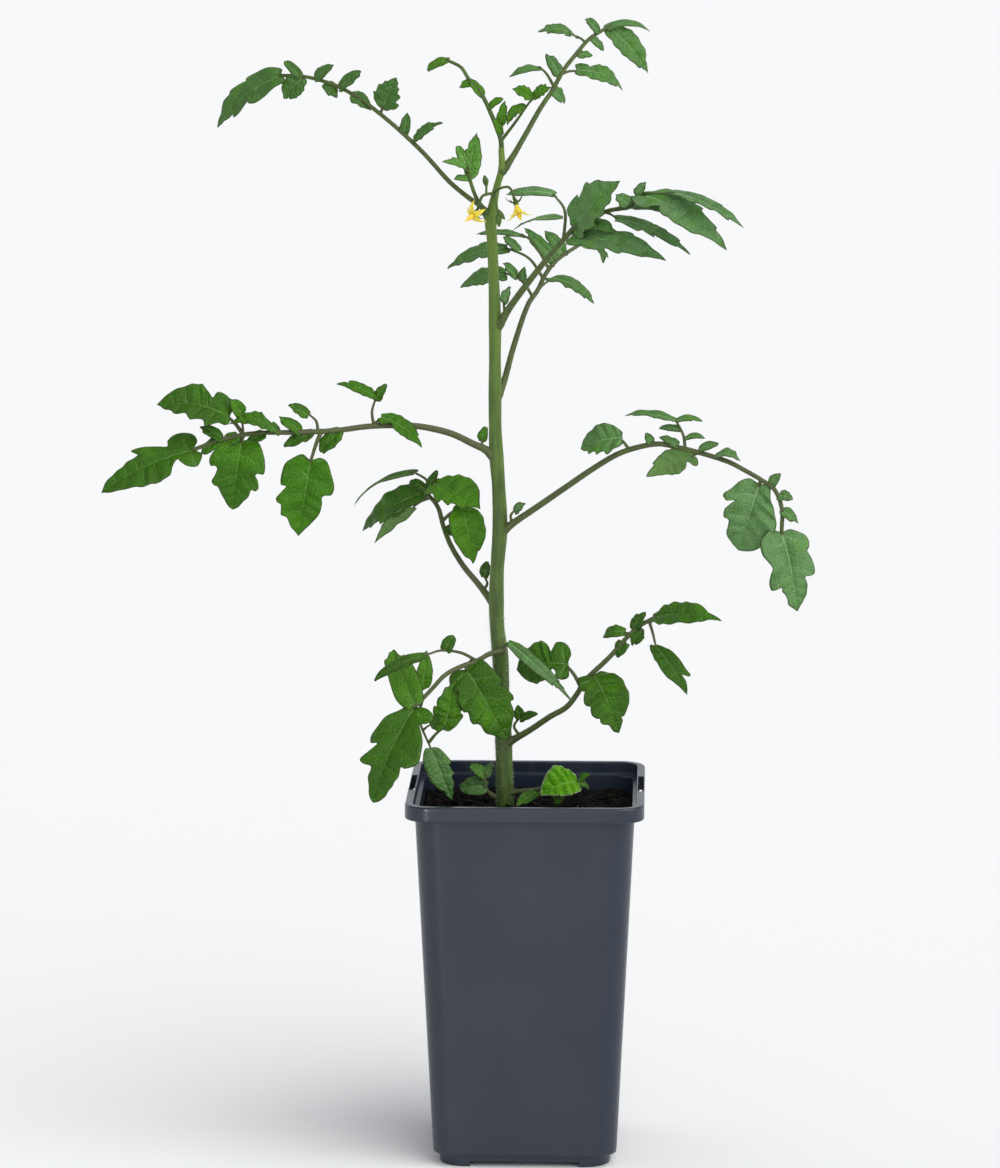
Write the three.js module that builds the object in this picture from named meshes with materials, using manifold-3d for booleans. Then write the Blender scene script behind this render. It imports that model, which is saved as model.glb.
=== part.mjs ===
// A young tomato plant in flower, standing in a square plastic nursery pot.
// Millimetres, +Z up. The origin is the centre of the pot's base, +X is right and +Y is to the back.

import * as THREE from 'three';
import { mergeVertices } from 'three/addons/utils/BufferGeometryUtils.js';
import Module from 'manifold-3d';

const wasm = await Module();
wasm.setup();

// Pot
const potHeight = 205.2;
const rimWidth = 130;
const rimCorner = 14;
const rimDepth = 8.2;
const rimThickness = 1.5;
const wallThickness = 1.5;
const wallTopWidth = 119.6;
const wallFootWidth = 101;
const footHeight = 7;
const footWidth = 95;
const collarWidth = 124;
const ledgeHeight = 198.5;
const floorLift = 3;
const drainChannel = 60;
const padRadius = 16;
const drainHoleRadius = 4;
const drainHoleRing = 32;
const slotLength = 40;
const slotWidth = 3.2;
const slotOffset = 62.9;
const slotShift = 2;

// Soil
const soilTop = 190;
const soilGap = 0.4;
const soilGrid = 10;

// Stem and leaves
const stemGap = 0.3;
const stemFoot = 150;
const bladeThickness = 0.8;
const rachisSides = 4;
const stalkSides = 3;
const sunk = 0.7;
const seamTolerance = 0.04;

const potColour = 0x3f444e;
const soilColour = 0x3a2b20;
const stemColour = 0x7f9a4c;
const leafColour = 0x3f7a34;
const youngColour = 0x86a843;
const petalColour = 0xf2cf35;

// Turns a closed geometry into a solid that can be joined and cut.
function solidOf(geometry) {
  const bare = geometry.clone();
  bare.deleteAttribute('normal');
  bare.deleteAttribute('uv');
  const merged = mergeVertices(bare);
  const mesh = new wasm.Mesh({
    numProp: 3,
    vertProperties: new Float32Array(merged.getAttribute('position').array),
    triVerts: new Uint32Array(merged.getIndex().array),
    tolerance: seamTolerance,
  });
  return new wasm.Manifold(mesh);
}

// Turns a solid into a named mesh with its own material.
function meshOf(name, solid, colour, roughness = 0.6) {
  const mesh = solid.getMesh();
  const geometry = new THREE.BufferGeometry();
  geometry.setAttribute('position', new THREE.BufferAttribute(new Float32Array(mesh.vertProperties), 3));
  geometry.setIndex(new THREE.BufferAttribute(new Uint32Array(mesh.triVerts), 1));
  geometry.computeVertexNormals();
  const material = new THREE.MeshStandardMaterial({ color: colour, roughness, metalness: 0 });
  const node = new THREE.Mesh(geometry, material);
  node.name = name;
  return node;
}

function joined(solids) {
  return solids.reduce((whole, piece) => whole.add(piece));
}

// A square block with rounded corners, whose width changes evenly from its low to its high face.
function squareBlock(lowWidth, highWidth, low, high, corner = rimCorner) {
  const half = highWidth / 2;
  const inner = half - corner;
  const outline = new THREE.Shape();
  outline.absarc(inner, inner, corner, 0, Math.PI / 2);
  outline.absarc(-inner, inner, corner, Math.PI / 2, Math.PI);
  outline.absarc(-inner, -inner, corner, Math.PI, 1.5 * Math.PI);
  outline.absarc(inner, -inner, corner, 1.5 * Math.PI, 2 * Math.PI);
  const depth = high - low;
  const block = new THREE.ExtrudeGeometry(outline, { depth, curveSegments: 3, bevelEnabled: false });
  const position = block.getAttribute('position');
  for (let i = 0; i < position.count; i += 1) {
    const scale = THREE.MathUtils.lerp(lowWidth / highWidth, 1, position.getZ(i) / depth);
    position.setXY(i, position.getX(i) * scale, position.getY(i) * scale);
  }
  return solidOf(block.translate(0, 0, low));
}

function box(width, depth, height, x, y, z) {
  return solidOf(new THREE.BoxGeometry(width, depth, height).translate(x, y, z));
}

function post(radius, height, x, y, low, sides = 16) {
  const cylinder = new THREE.CylinderGeometry(radius, radius, height, sides);
  return solidOf(cylinder.rotateX(Math.PI / 2).translate(x, y, low + height / 2));
}

// The turned-down rim: a flange with a skirt round it and a groove between skirt and collar.
function rimSolid() {
  const rimLow = potHeight - rimDepth;
  const whole = squareBlock(rimWidth, rimWidth, rimLow, potHeight);
  const grooveTop = potHeight - 2;
  const skirtWidth = rimWidth - 2 * rimThickness;
  const grooveOuter = squareBlock(skirtWidth, skirtWidth, rimLow - 1, grooveTop, rimCorner - rimThickness);
  const grooveInner = squareBlock(collarWidth, collarWidth, rimLow - 2, potHeight, rimCorner - 3);
  return whole.subtract(grooveOuter.subtract(grooveInner));
}

// The room inside the pot up to the ledge: it follows the inset foot and the tapered wall.
function potRoom(gap) {
  const inset = 2 * (wallThickness + gap);
  const floorTop = floorLift + wallThickness + gap;
  const shoulder = footHeight + wallThickness + gap;
  return joined([
    squareBlock(footWidth - inset - 1, footWidth - inset, floorTop, shoulder + 0.2, rimCorner - 2),
    squareBlock(wallFootWidth - inset, wallTopWidth - inset, shoulder, ledgeHeight + 0.1, rimCorner - 1.5),
  ]);
}

// The wider room inside the collar, above the ledge.
function collarRoom() {
  const width = collarWidth - 2 * wallThickness;
  return squareBlock(width, width + 0.6, ledgeHeight, potHeight + 1, rimCorner - 4.5);
}

function potMesh() {
  const walls = joined([
    squareBlock(footWidth - 1, footWidth, 0, footHeight + 1),
    squareBlock(wallFootWidth, wallTopWidth, footHeight, ledgeHeight),
    rimSolid(),
  ]);
  const channel = drainChannel;
  const across = rimWidth;
  const lengthwise = box(channel, across, floorLift * 2, 0, 0, 0);
  const channels = lengthwise.add(box(across, channel, floorLift * 2, 0, 0, 0));
  const pad = post(padRadius, floorLift + 0.2, 0, 0, 0);
  const holes = [];
  for (let i = 0; i < 8; i += 1) {
    const angle = (i * Math.PI) / 4;
    const x = drainHoleRing * Math.cos(angle);
    const y = drainHoleRing * Math.sin(angle);
    holes.push(post(drainHoleRadius, 12, x, y, -2, 8));
  }
  const slots = [-1, 1].map((side) =>
    box(slotWidth, slotLength, 12, side * slotOffset, slotShift, potHeight - 0.5));
  const cuts = joined([potRoom(0), collarRoom(), ...slots]);
  const solid = walls.subtract(channels).add(pad).subtract(cuts).subtract(joined(holes));
  return meshOf('pot', solid, potColour, 0.45);
}

// The compost's top lies in low mounds, a little higher round the stem.
function soilRelief(x, y) {
  const mounds = 1.5 * Math.sin(0.19 * x + 1) * Math.cos(0.16 * y) + Math.sin(0.41 * x + 0.27 * y);
  const crumbs = 0.7 * Math.cos(0.83 * y - 0.61 * x) + 0.5 * Math.sin(1.1 * x + 0.4);
  const heap = 3 * Math.exp(-((x + 12) ** 2 + y ** 2) / 500);
  return mounds + crumbs + heap;
}

function soilMesh(stemRoom) {
  const block = new THREE.BoxGeometry(rimWidth, rimWidth, soilTop, soilGrid, soilGrid, 1);
  block.translate(0, 0, soilTop / 2);
  const position = block.getAttribute('position');
  for (let i = 0; i < position.count; i += 1) {
    if (position.getZ(i) > soilTop / 2) {
      position.setZ(i, soilTop + soilRelief(position.getX(i), position.getY(i)));
    }
  }
  return meshOf('soil', solidOf(block).intersect(potRoom(soilGap)).subtract(stemRoom), soilColour, 1);
}

// A round stalk along a smooth curve. The radius is a function of the share of its length.
function stalk(points, radiusAt, sides, steps) {
  const seed = 0.1;
  const outline = new THREE.Shape();
  for (let i = 0; i < sides; i += 1) {
    const angle = (2 * Math.PI * i) / sides;
    const x = seed * Math.cos(angle);
    const y = seed * Math.sin(angle);
    if (i === 0) outline.moveTo(x, y);
    else outline.lineTo(x, y);
  }
  outline.closePath();
  const curve = new THREE.CatmullRomCurve3(points, false, 'centripetal');
  const tube = new THREE.ExtrudeGeometry(outline, { steps, extrudePath: curve, bevelEnabled: false });
  const centres = curve.getSpacedPoints(steps);
  const position = tube.getAttribute('position');
  const point = new THREE.Vector3();
  for (let i = 0; i < position.count; i += 1) {
    point.fromBufferAttribute(position, i);
    const distances = centres.map((centre) => centre.distanceToSquared(point));
    const nearest = distances.indexOf(Math.min(...distances));
    const centre = centres[nearest];
    point.sub(centre).multiplyScalar(radiusAt(nearest / steps) / seed).add(centre);
    position.setXYZ(i, point.x, point.y, point.z);
  }
  return solidOf(tube);
}

function taperedStalk(points, startRadius, endRadius, sides, steps) {
  return stalk(points, (share) => THREE.MathUtils.lerp(startRadius, endRadius, share), sides, steps);
}

// Half outlines of a blade, from base to tip: share of the length, and share of the half width there.
const outlines = {
  plain: [[-0.05, 0], [0.3, 1], [0.66, 0.7]],
  small: [[-0.06, 0], [0.42, 1]],
  toothed: [[-0.04, 0.12], [0.12, 0.78], [0.3, 1], [0.42, 0.74], [0.6, 0.78], [0.74, 0.38]],
  lobed: [
    [-0.02, 0.08], [0.05, 0.62], [0.2, 1], [0.31, 0.76], [0.47, 0.94],
    [0.58, 0.6], [0.72, 0.6], [0.82, 0.3],
  ],
};

// One leaflet blade. Its midrib runs from base to tip and arches over, the two halves fold up from it,
// and the edge rises into each notch and falls to each lobe.
function blade({ base, tip, width, edge, face, arch, fold, sweep = 0.16 }) {
  const along = tip.clone().sub(base);
  const forward = along.clone().normalize();
  const up = face.clone().addScaledVector(forward, -face.dot(forward)).normalize();
  const side = forward.clone().cross(up);
  const outline = outlines[edge];
  const ripple = edge === 'plain' || edge === 'small' ? 0 : 0.045 * width;
  const rise = Math.tan(THREE.MathUtils.degToRad(fold));
  const places = [];
  const place = (share, across, lift) => {
    const bow = arch * 4 * share * (1 - share) + lift;
    const spot = base.clone().addScaledVector(along, share).addScaledVector(side, across);
    places.push(spot.addScaledVector(up, bow));
    return places.length - 1;
  };
  const rows = outline.map(([share, spread], row) => {
    const half = (spread * width) / 2;
    if (half === 0) {
      const point = place(share, 0, 0);
      return [point, point, point];
    }
    const wave = row % 2 ? ripple : -ripple;
    const lift = half * rise + (spread > 0.2 ? wave : 0);
    const skew = edge === 'lobed' && row > 1 ? 0.025 : 0;
    return [place(share + skew, -half, lift), place(share - (sweep * half) / width, 0, 0),
      place(share - skew, half, lift)];
  });
  const point = place(1, 0, 0);
  rows.push([point, point, point]);
  const faces = [];
  for (let row = 1; row < rows.length; row += 1) {
    const [left, middle, right] = rows[row - 1];
    const [nextLeft, nextMiddle, nextRight] = rows[row];
    faces.push([middle, right, nextRight], [middle, nextRight, nextMiddle]);
    faces.push([left, middle, nextMiddle], [left, nextMiddle, nextLeft]);
  }
  const whole = faces.filter(([a, b, c]) => a !== b && b !== c && c !== a);
  const round = [rows[0][1], ...rows.map((row) => row[2]), ...rows.map((row) => row[0]).reverse()];
  const rim = round.filter((a, i) => a !== round[(i + 1) % round.length]);
  const count = places.length;
  const index = whole.flat();
  whole.forEach(([a, b, c]) => index.push(a + count, c + count, b + count));
  rim.forEach((a, i) => {
    const b = rim[(i + 1) % rim.length];
    index.push(a + count, b + count, b, a + count, b, a);
  });
  const halfThick = bladeThickness / 2;
  const tops = places.flatMap((p) => p.clone().addScaledVector(up, halfThick).toArray());
  const bottoms = places.flatMap((p) => p.clone().addScaledVector(up, -halfThick).toArray());
  const geometry = new THREE.BufferGeometry();
  geometry.setAttribute('position', new THREE.BufferAttribute(new Float32Array([...tops, ...bottoms]), 3));
  geometry.setIndex(index);
  return solidOf(geometry);
}

// The way a blade's top looks: turned round from the front (positive to the right) and raised, in degrees.
function facing([turn, raise]) {
  const turnAngle = THREE.MathUtils.degToRad(turn);
  const raiseAngle = THREE.MathUtils.degToRad(raise);
  const level = Math.cos(raiseAngle);
  return new THREE.Vector3(level * Math.sin(turnAngle), -level * Math.cos(turnAngle), Math.sin(raiseAngle));
}

// A leaf's places: [x, y, z], or [x, z] with the depth from the leaf's lean, in mm back per mm to the right.
// The whole leaf is lifted by its rise, in mm per mm away from the stem.
function placer({ root, lean, rise = 0 }) {
  return (place) => {
    const [x, y, z] = place.length === 3 ? place : [place[0], root[1] + lean * (place[0] - root[0]), place[1]];
    return new THREE.Vector3(x, y, z + rise * Math.abs(x - root[0]));
  };
}

// The point a little behind a stalk's root, inside what carries it.
function sunkStart(root, next) {
  return root.clone().addScaledVector(next.clone().sub(root).normalize(), -sunk);
}

// A leaflet with its stalk, which ends just inside the blade.
function leaflet(at, spec, carrierRadius) {
  const { from, base, tip, width, edge = 'toothed', face = [0, 40], arch = 3, fold = 14 } = spec;
  const basePoint = at(base);
  const tipPoint = at(tip);
  const pieces = [blade({ base: basePoint, tip: tipPoint, width, edge, face: facing(face), arch, fold })];
  if (from) {
    const thick = Math.min(carrierRadius, 0.5 + width * 0.03);
    const root = at(from);
    const end = basePoint.clone().addScaledVector(tipPoint.clone().sub(basePoint).normalize(), sunk);
    pieces.push(taperedStalk([sunkStart(root, end), end], thick, thick * 0.7, stalkSides, 1));
  }
  return pieces;
}

// A compound leaf: the rachis, its side stalks and all leaflets in one body, clear of the stem it grows from.
function compoundLeaf(plan, stemRoom) {
  const at = placer(plan);
  const [startRadius, endRadius] = plan.radii;
  const rachis = plan.rachis.map(at);
  const pieces = [taperedStalk(rachis, startRadius, endRadius, rachisSides, rachis.length)];
  (plan.branches ?? []).forEach((branch) => {
    const points = branch.map(at);
    points[0] = sunkStart(points[0], points[1]);
    pieces.push(taperedStalk(points, 0.9, 0.6, stalkSides, points.length));
  });
  plan.leaflets.forEach((spec) => pieces.push(...leaflet(at, spec, endRadius + 0.2)));
  return meshOf(plan.name, joined(pieces).subtract(stemRoom), plan.colour ?? leafColour);
}

// The stem: [x, y, z, radius] from the soil to the last fork, thicker where a leaf joins.
const stemPath = [
  [-12, 0, stemFoot, 4.9], [-12.3, 0, 197, 4.9], [-12.5, 0, 212, 4.4], [-13, 0.5, 228, 4.7],
  [-14, 1, 252, 4.2], [-15, 1, 278, 4.5], [-16.5, 0.5, 292, 3.9], [-17, 0, 308, 4.2],
  [-16.5, 0, 326, 3.7], [-15, -0.5, 348, 4.2], [-15.8, 0, 372, 3.6], [-17, 0.5, 388, 4],
  [-17.6, 0.5, 404, 3.4], [-17.7, 0, 422, 3.6], [-17.7, -0.5, 442, 3.2], [-17.7, 0, 461, 3.5],
  [-18.3, 0, 484, 2.9], [-19.3, 0.5, 506, 2.8], [-20, 0, 517, 3.3], [-18.2, 0, 528, 2.2],
  [-16.4, 0, 536, 1.8], [-14, 0, 545, 1.9], [-14.2, 0, 556, 1.5],
];

function stemSolid(extra) {
  const points = stemPath.map(([x, y, z]) => new THREE.Vector3(x, y, z));
  const curve = new THREE.CatmullRomCurve3(points, false, 'centripetal');
  const radiusAt = (share) => {
    const height = curve.getPointAt(share).z;
    const above = stemPath.findIndex(([, , z]) => z >= height - 1e-6);
    const upper = stemPath[Math.max(above, 1)];
    const lower = stemPath[Math.max(above, 1) - 1];
    const blend = (height - lower[2]) / (upper[2] - lower[2]);
    return THREE.MathUtils.lerp(lower[3], upper[3], THREE.MathUtils.clamp(blend, 0, 1)) + extra;
  };
  return stalk(points, radiusAt, 8, 28);
}

const lowRight = {
  name: 'leaf_low_right',
  root: [-13, 0],
  lean: -0.5,
  rise: 0.025,
  radii: [1.8, 1.15],
  rachis: [
    [-13, 227], [1, 236], [13, 245], [22, 251], [28, 259], [32, 266], [46, 281], [55, 292], [62, 299],
    [70, 304],
  ],
  branches: [[[-4, 233], [-7, 238], [-4, 243]]],
  leaflets: [
    { base: [69, 304], tip: [106, 305], width: 17, edge: 'lobed', face: [5, 50], arch: 4 },
    { from: [67, 302], base: [70, 289], tip: [88, 263], width: 13, face: [20, 25] },
    { from: [62, 299], base: [64, 297], tip: [57, 288], width: 9, edge: 'plain', arch: 1 },
    { from: [57, 294], base: [54, 295], tip: [42, 292], width: 8.5, edge: 'small' },
    { from: [57, 294], base: [58, 297], tip: [65, 307], width: 7.5, edge: 'small', arch: 1 },
    { from: [55, 292], base: [54, 290], tip: [49, 281], width: 8, edge: 'plain', arch: 1 },
    { from: [32, 266], base: [37, 270], tip: [51, 239], width: 25, edge: 'lobed', face: [10, 25], arch: 5 },
    { from: [30, 263], base: [23, 275], tip: [-6, 270], width: 25, edge: 'lobed', face: [0, 32], arch: 5 },
    { base: [-4, 242], tip: [6, 246], width: 6, edge: 'small', arch: 1 },
    { base: [-4, 242], tip: [-5, 250], width: 6, edge: 'small', arch: 1 },
  ],
};

const lowLeft = {
  name: 'leaf_low_left',
  root: [-11, -6],
  lean: 0.7,
  rise: 0.014,
  radii: [1.45, 1.1],
  rachis: [
    [-15, 0, 279], [-13, -7, 281], [-20, -11, 280], [-27, 277], [-35, 275], [-44, 271], [-50, 265],
    [-60, 255],
  ],
  branches: [
    [[-56, -33, 259], [-58, -28, 246], [-52, -27, 230]],
    [[-27, -17, 277], [-35, -24, 282.5], [-46, -34, 285.5], [-54, -44, 284.5]],
    [[-14, -6, 282], [-10, -9, 286]],
  ],
  leaflets: [
    { base: [-60, 255], tip: [-82, 205], width: 36, edge: 'lobed', face: [-20, 25], arch: 6 },
    { base: [-60, 255], tip: [-73, -24, 283], width: 16, edge: 'plain', face: [0, 20], arch: 2 },
    {
      from: [-56, 260], base: [-57, -30, 262], tip: [-54, -26, 284],
      width: 10, edge: 'plain', face: [20, 15], arch: 2,
    },
    { base: [-53, -43, 284.5], tip: [-81, -50, 271], width: 9, edge: 'plain', face: [0, 60] },
    { base: [-44, -32, 285], tip: [-39, -30, 293], width: 7.5, edge: 'small', arch: 1 },
    {
      from: [-33, 275], base: [-33, -20, 273], tip: [-10, -24, 234],
      width: 29, edge: 'lobed', face: [5, 25], arch: 4,
    },
    {
      from: [-53, -27, 233], base: [-45, -27, 240], tip: [-38, -25, 268],
      width: 17, face: [10, 20], arch: 2,
    },
    {
      from: [-56, -28, 240], base: [-52, -30, 243], tip: [-45, -33, 249],
      width: 7.5, edge: 'small', arch: 1,
    },
    { base: [-52, -27, 230], tip: [-40, -31, 202], width: 15, face: [0, 20] },
    { base: [-10, -9, 286], tip: [25.5, -36, 259], width: 8, edge: 'plain', arch: 4, face: [0, 30] },
  ],
};

const midLeft = {
  name: 'leaf_mid_left',
  root: [-17, 0],
  lean: -0.8,
  rise: -0.05,
  radii: [1.8, 1.15],
  rachis: [[-17, 305], [-21, 309], [-27, 316], [-36, 326], [-43, 337], [-47, 347], [-50, 357], [-57, 365]],
  branches: [
    [[-55, 364], [-56, 371], [-65, 376]],
    [[-24, 313], [-22, 317], [-24, 321]],
  ],
  leaflets: [
    { from: [-51, 359], base: [-52, 370], tip: [-26, 358], width: 21, edge: 'lobed', face: [0, 35], arch: 4 },
    {
      from: [-47, 350], base: [-37, 359], tip: [-30, 327],
      width: 20, edge: 'lobed', face: [15, 20], arch: 4,
    },
    { base: [-57, 365], tip: [-94, 340], width: 19, edge: 'lobed', face: [-15, 38], arch: 5 },
    { from: [-54, 362], base: [-64, 30, 357], tip: [-86, 42, 336], width: 9, edge: 'plain', face: [180, 40] },
    { base: [-64, 375], tip: [-99, 354], width: 7.5, edge: 'small', face: [0, 60], arch: 5 },
    { base: [-56, 366], tip: [-50, 377], width: 6, edge: 'small', arch: 1 },
    { base: [-57, 366], tip: [-66, 371], width: 6, edge: 'small', arch: 1 },
    { base: [-46, 346], tip: [-38, 342], width: 7.5, edge: 'small', arch: 1 },
    { base: [-24, 320], tip: [-22, 329], width: 6, edge: 'small', arch: 1 },
  ],
};

const midRight = {
  name: 'leaf_mid_right',
  root: [-15, 0],
  lean: -0.3,
  rise: 0.02,
  radii: [1.85, 1.1],
  rachis: [
    [-15, 345], [-9, 350], [5, 360], [23, 373], [37, 383], [50, 391], [61, 395], [72, 397], [84, 395],
    [97, 392], [110, 388], [118, 384], [127, 379], [134, 374], [138, 364], [138, 350],
  ],
  branches: [
    [[86, 395], [85, 402], [81, 410]],
    [[-8, 351], [-9, 355], [-7, 358]],
  ],
  leaflets: [
    { from: [56, 393], base: [52, 400], tip: [29, 393], width: 18, face: [0, 30], arch: 4 },
    { from: [94, 393], base: [91, 391], tip: [65, 379], width: 16, face: [180, 20] },
    { base: [83, 396], tip: [72, 401], width: 6, edge: 'small', arch: 1 },
    { base: [81, 410], tip: [53, 412], width: 7, edge: 'plain', face: [0, 62], arch: 3 },
    { base: [81, 410], tip: [95, 410], width: 6, edge: 'small', face: [0, 55], arch: 2 },
    { base: [83, 405], tip: [72, 406], width: 5, edge: 'small', face: [0, 45], arch: 1 },
    { base: [85, 400], tip: [97, 401], width: 5, edge: 'small', face: [0, 50], arch: 2 },
    { base: [93, 394], tip: [104, 398], width: 5, edge: 'small', face: [0, 35], arch: 2 },
    { base: [102, 391], tip: [116, 389], width: 9, edge: 'plain', face: [0, 60], arch: 4 },
    { from: [127, 379], base: [126, 377], tip: [115, 340], width: 31, edge: 'lobed', face: [0, 20], arch: 4 },
    { base: [138, 351], tip: [147, 308], width: 30, edge: 'lobed', face: [15, 20], arch: 4 },
    { base: [132, 376], tip: [137, 383], width: 6, edge: 'small', arch: 1 },
    { base: [136, 371], tip: [144, 369], width: 7.5, edge: 'small', arch: 1 },
    { base: [138, 363], tip: [147, 356], width: 7.5, edge: 'small', arch: 1 },
    { base: [68, 396], tip: [65, 403], width: 5, edge: 'small', arch: 1 },
    { base: [-7, 357], tip: [-1, 362], width: 6, edge: 'small', arch: 1 },
  ],
};

const upperLeft = {
  name: 'leaf_upper_left',
  root: [-17, 0],
  lean: 0.2,
  rise: 0.014,
  radii: [1.95, 1.1],
  rachis: [
    [-17, 386], [-22, 391], [-30, 395], [-40, 400], [-50, 403], [-62, 405], [-85, 405], [-102, 403],
    [-122, 402], [-142, 402], [-153, 401], [-169, 397], [-180, 393],
  ],
  branches: [
    [[-83, 405], [-84, 413], [-82, 420]],
    [[-113, 402], [-114, 408], [-118, 412]],
    [[-24, 392], [-25, 397]],
  ],
  leaflets: [
    { base: [-179, 393], tip: [-229, 370], width: 27, edge: 'lobed', face: [-5, 40], arch: 6 },
    {
      from: [-153, 401], base: [-160, 411], tip: [-199, 418],
      width: 25, edge: 'lobed', face: [0, 42], arch: 6,
    },
    {
      from: [-153, 401], base: [-154, 398], tip: [-159, 360],
      width: 31, edge: 'lobed', face: [0, 15], arch: 4,
    },
    {
      from: [-111, 403], base: [-117, 387], tip: [-124, 345],
      width: 30, edge: 'lobed', face: [5, 20], arch: 4,
    },
    { base: [-134, 402], tip: [-161, 407], width: 14, face: [0, 60], arch: 6 },
    { base: [-156, 401], tip: [-167, 392], width: 8.5, edge: 'small', arch: 1 },
    { base: [-141, 402], tip: [-152, 395], width: 7.5, edge: 'small', arch: 1 },
    { from: [-153, 401], base: [-153, 411], tip: [-160, 421], width: 8, edge: 'plain', arch: 1 },
    { base: [-164, 399], tip: [-176, 406], width: 7.5, edge: 'small', arch: 1 },
    { base: [-166, 398], tip: [-176, 391], width: 7.5, edge: 'small', arch: 1 },
    { base: [-116, 402], tip: [-131, 394], width: 8, edge: 'plain', arch: 1 },
    { base: [-101, 403], tip: [-112, 391], width: 10, edge: 'plain', arch: 1 },
    { base: [-122, 402], tip: [-134, 411], width: 7.5, edge: 'small', arch: 1 },
    { base: [-118, 411], tip: [-129, 417], width: 7.5, edge: 'small', arch: 1 },
    { base: [-80, 420], tip: [-102, 429], width: 8, edge: 'plain', face: [0, 50], arch: 2 },
    { base: [-82, 419], tip: [-76, 428], width: 6, edge: 'small', arch: 1 },
    { from: [-85, 405], base: [-79, 410], tip: [-57, 393], width: 11, face: [0, 45], arch: 5 },
    { base: [-25, 396], tip: [-22, 404], width: 6, edge: 'small', arch: 1 },
  ],
};

const upperBack = {
  name: 'leaf_upper_back',
  root: [-17, 0],
  lean: 1.2,
  radii: [1.85, 1],
  rachis: [[-17, 419], [-13, 428], [-8, 446], [0, 469], [5, 476], [9, 484], [15, 491], [27, 498]],
  branches: [
    [[2.5, 472.5], [-4, 21, 482], [-13, 22, 486]],
    [[8, 482], [0, 31, 493], [-13, 31, 499]],
    [[11, 487], [2, 32, 502], [-4, 33, 506]],
  ],
  leaflets: [
    { base: [27, 498], tip: [40, 78, 486], width: 18, edge: 'lobed', face: [20, 60], arch: 5 },
    { from: [5, 476], base: [12, 482], tip: [36, 32, 468], width: 10, edge: 'plain', face: [0, 60], arch: 4 },
    { base: [-12, 22, 485], tip: [-38, 28, 477], width: 13, face: [-10, 50], arch: 3 },
    { base: [-3.4, 21, 481.2], tip: [-2, 16, 490], width: 6, edge: 'small', arch: 1 },
    { base: [-6, 21.2, 483], tip: [-14, 17, 492], width: 6, edge: 'small', arch: 1 },
    { base: [-12, 31, 499], tip: [-45, 33, 487], width: 12, face: [0, 50], arch: 4 },
    { base: [-5, 31, 497], tip: [-14, 27, 505], width: 6, edge: 'small', arch: 1 },
    { base: [-3, 33, 505], tip: [-29, 36, 506], width: 6, edge: 'small', face: [0, 60], arch: 2 },
    { base: [14, 490], tip: [-3, 40, 509], width: 9, edge: 'plain', face: [0, 40], arch: 2 },
    { base: [19, 493], tip: [8, 55, 506], width: 10, edge: 'plain', face: [0, 60], arch: 2 },
  ],
};

const upperRight = {
  name: 'leaf_upper_right',
  root: [-17, 0],
  lean: -0.7,
  rise: 0.03,
  radii: [2, 1.05],
  rachis: [
    [-17, 458], [-13, 464], [-10, 469], [0, 483], [10, 496], [20, 508], [26, 515], [33, 520], [42, 524],
    [57, 528],
  ],
  branches: [
    [[56, 527.6], [60, 534], [71, 535], [79, 536]],
    [[20, 508], [21, 522], [14, 4, 530]],
    [[-12, 466], [-13, 473]],
  ],
  leaflets: [
    { base: [26, 515], tip: [50, 541], width: 24, edge: 'lobed', face: [-10, 35], arch: 3 },
    { base: [29, 517], tip: [48, 513], width: 10, edge: 'plain', face: [0, 50], arch: 3 },
    { base: [25, 510], tip: [75, 500], width: 16, edge: 'lobed', face: [0, 40], arch: 5 },
    { from: [42, 524], base: [48, 521], tip: [88, 504], width: 10, edge: 'plain', face: [0, 55], arch: 4 },
    { base: [52, 526.6], tip: [90, 521], width: 7, edge: 'plain', face: [0, 60], arch: 4 },
    { base: [62, 534], tip: [107, 507], width: 20, edge: 'lobed', face: [15, 40], arch: 7 },
    { base: [78, 536], tip: [116, 519], width: 9, edge: 'plain', face: [10, 55], arch: 4 },
    { base: [59, 533], tip: [64, 541], width: 6, edge: 'small', arch: 1 },
    { base: [56, 527.4], tip: [48, 534], width: 8.5, edge: 'small', arch: 1 },
    { base: [15, 4, 530], tip: [-12, 5, 530.4], width: 6, edge: 'small', face: [0, 40], arch: 3 },
    { base: [19.5, 520], tip: [-9, 12, 510], width: 8, edge: 'plain', face: [0, 60], arch: 3 },
    { base: [-13, 472], tip: [-9, 481], width: 6, edge: 'small', arch: 1 },
  ],
};

const topLeft = {
  name: 'leaf_top_left',
  root: [-20, 0],
  lean: -0.45,
  rise: -0.032,
  radii: [1.4, 0.95],
  rachis: [
    [-20, 515], [-25, 524], [-32, 529], [-42, 537], [-57, 553], [-70, 565], [-81, 574], [-92, 582],
    [-105, 589], [-122, 594], [-138, 595],
  ],
  branches: [],
  leaflets: [
    { base: [-137, 595], tip: [-174, 566], width: 19, edge: 'lobed', face: [-10, 40], arch: 6 },
    { base: [-124, 594], tip: [-136, 582], width: 14, face: [0, 30], arch: 2 },
    { base: [-126, 594], tip: [-135, 603], width: 6, edge: 'small', arch: 1 },
    { base: [-118, 593], tip: [-107, 601], width: 8.5, edge: 'small', arch: 1 },
    { base: [-112, 591], tip: [-105, 583], width: 8, edge: 'plain', arch: 1 },
    { base: [-104, 588], tip: [-92, 597], width: 8, edge: 'plain', arch: 1 },
    { base: [-97, 585], tip: [-86, 576], width: 9, edge: 'plain', arch: 1 },
    { from: [-81, 574], base: [-80, 577], tip: [-72, 594], width: 17, face: [0, 35], arch: 1 },
    { base: [-68, 563], tip: [-66, 575], width: 6, edge: 'small', arch: 1 },
    { base: [-63, 559], tip: [-47, 570], width: 8, edge: 'plain', face: [0, 50], arch: 2 },
  ],
};

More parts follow.
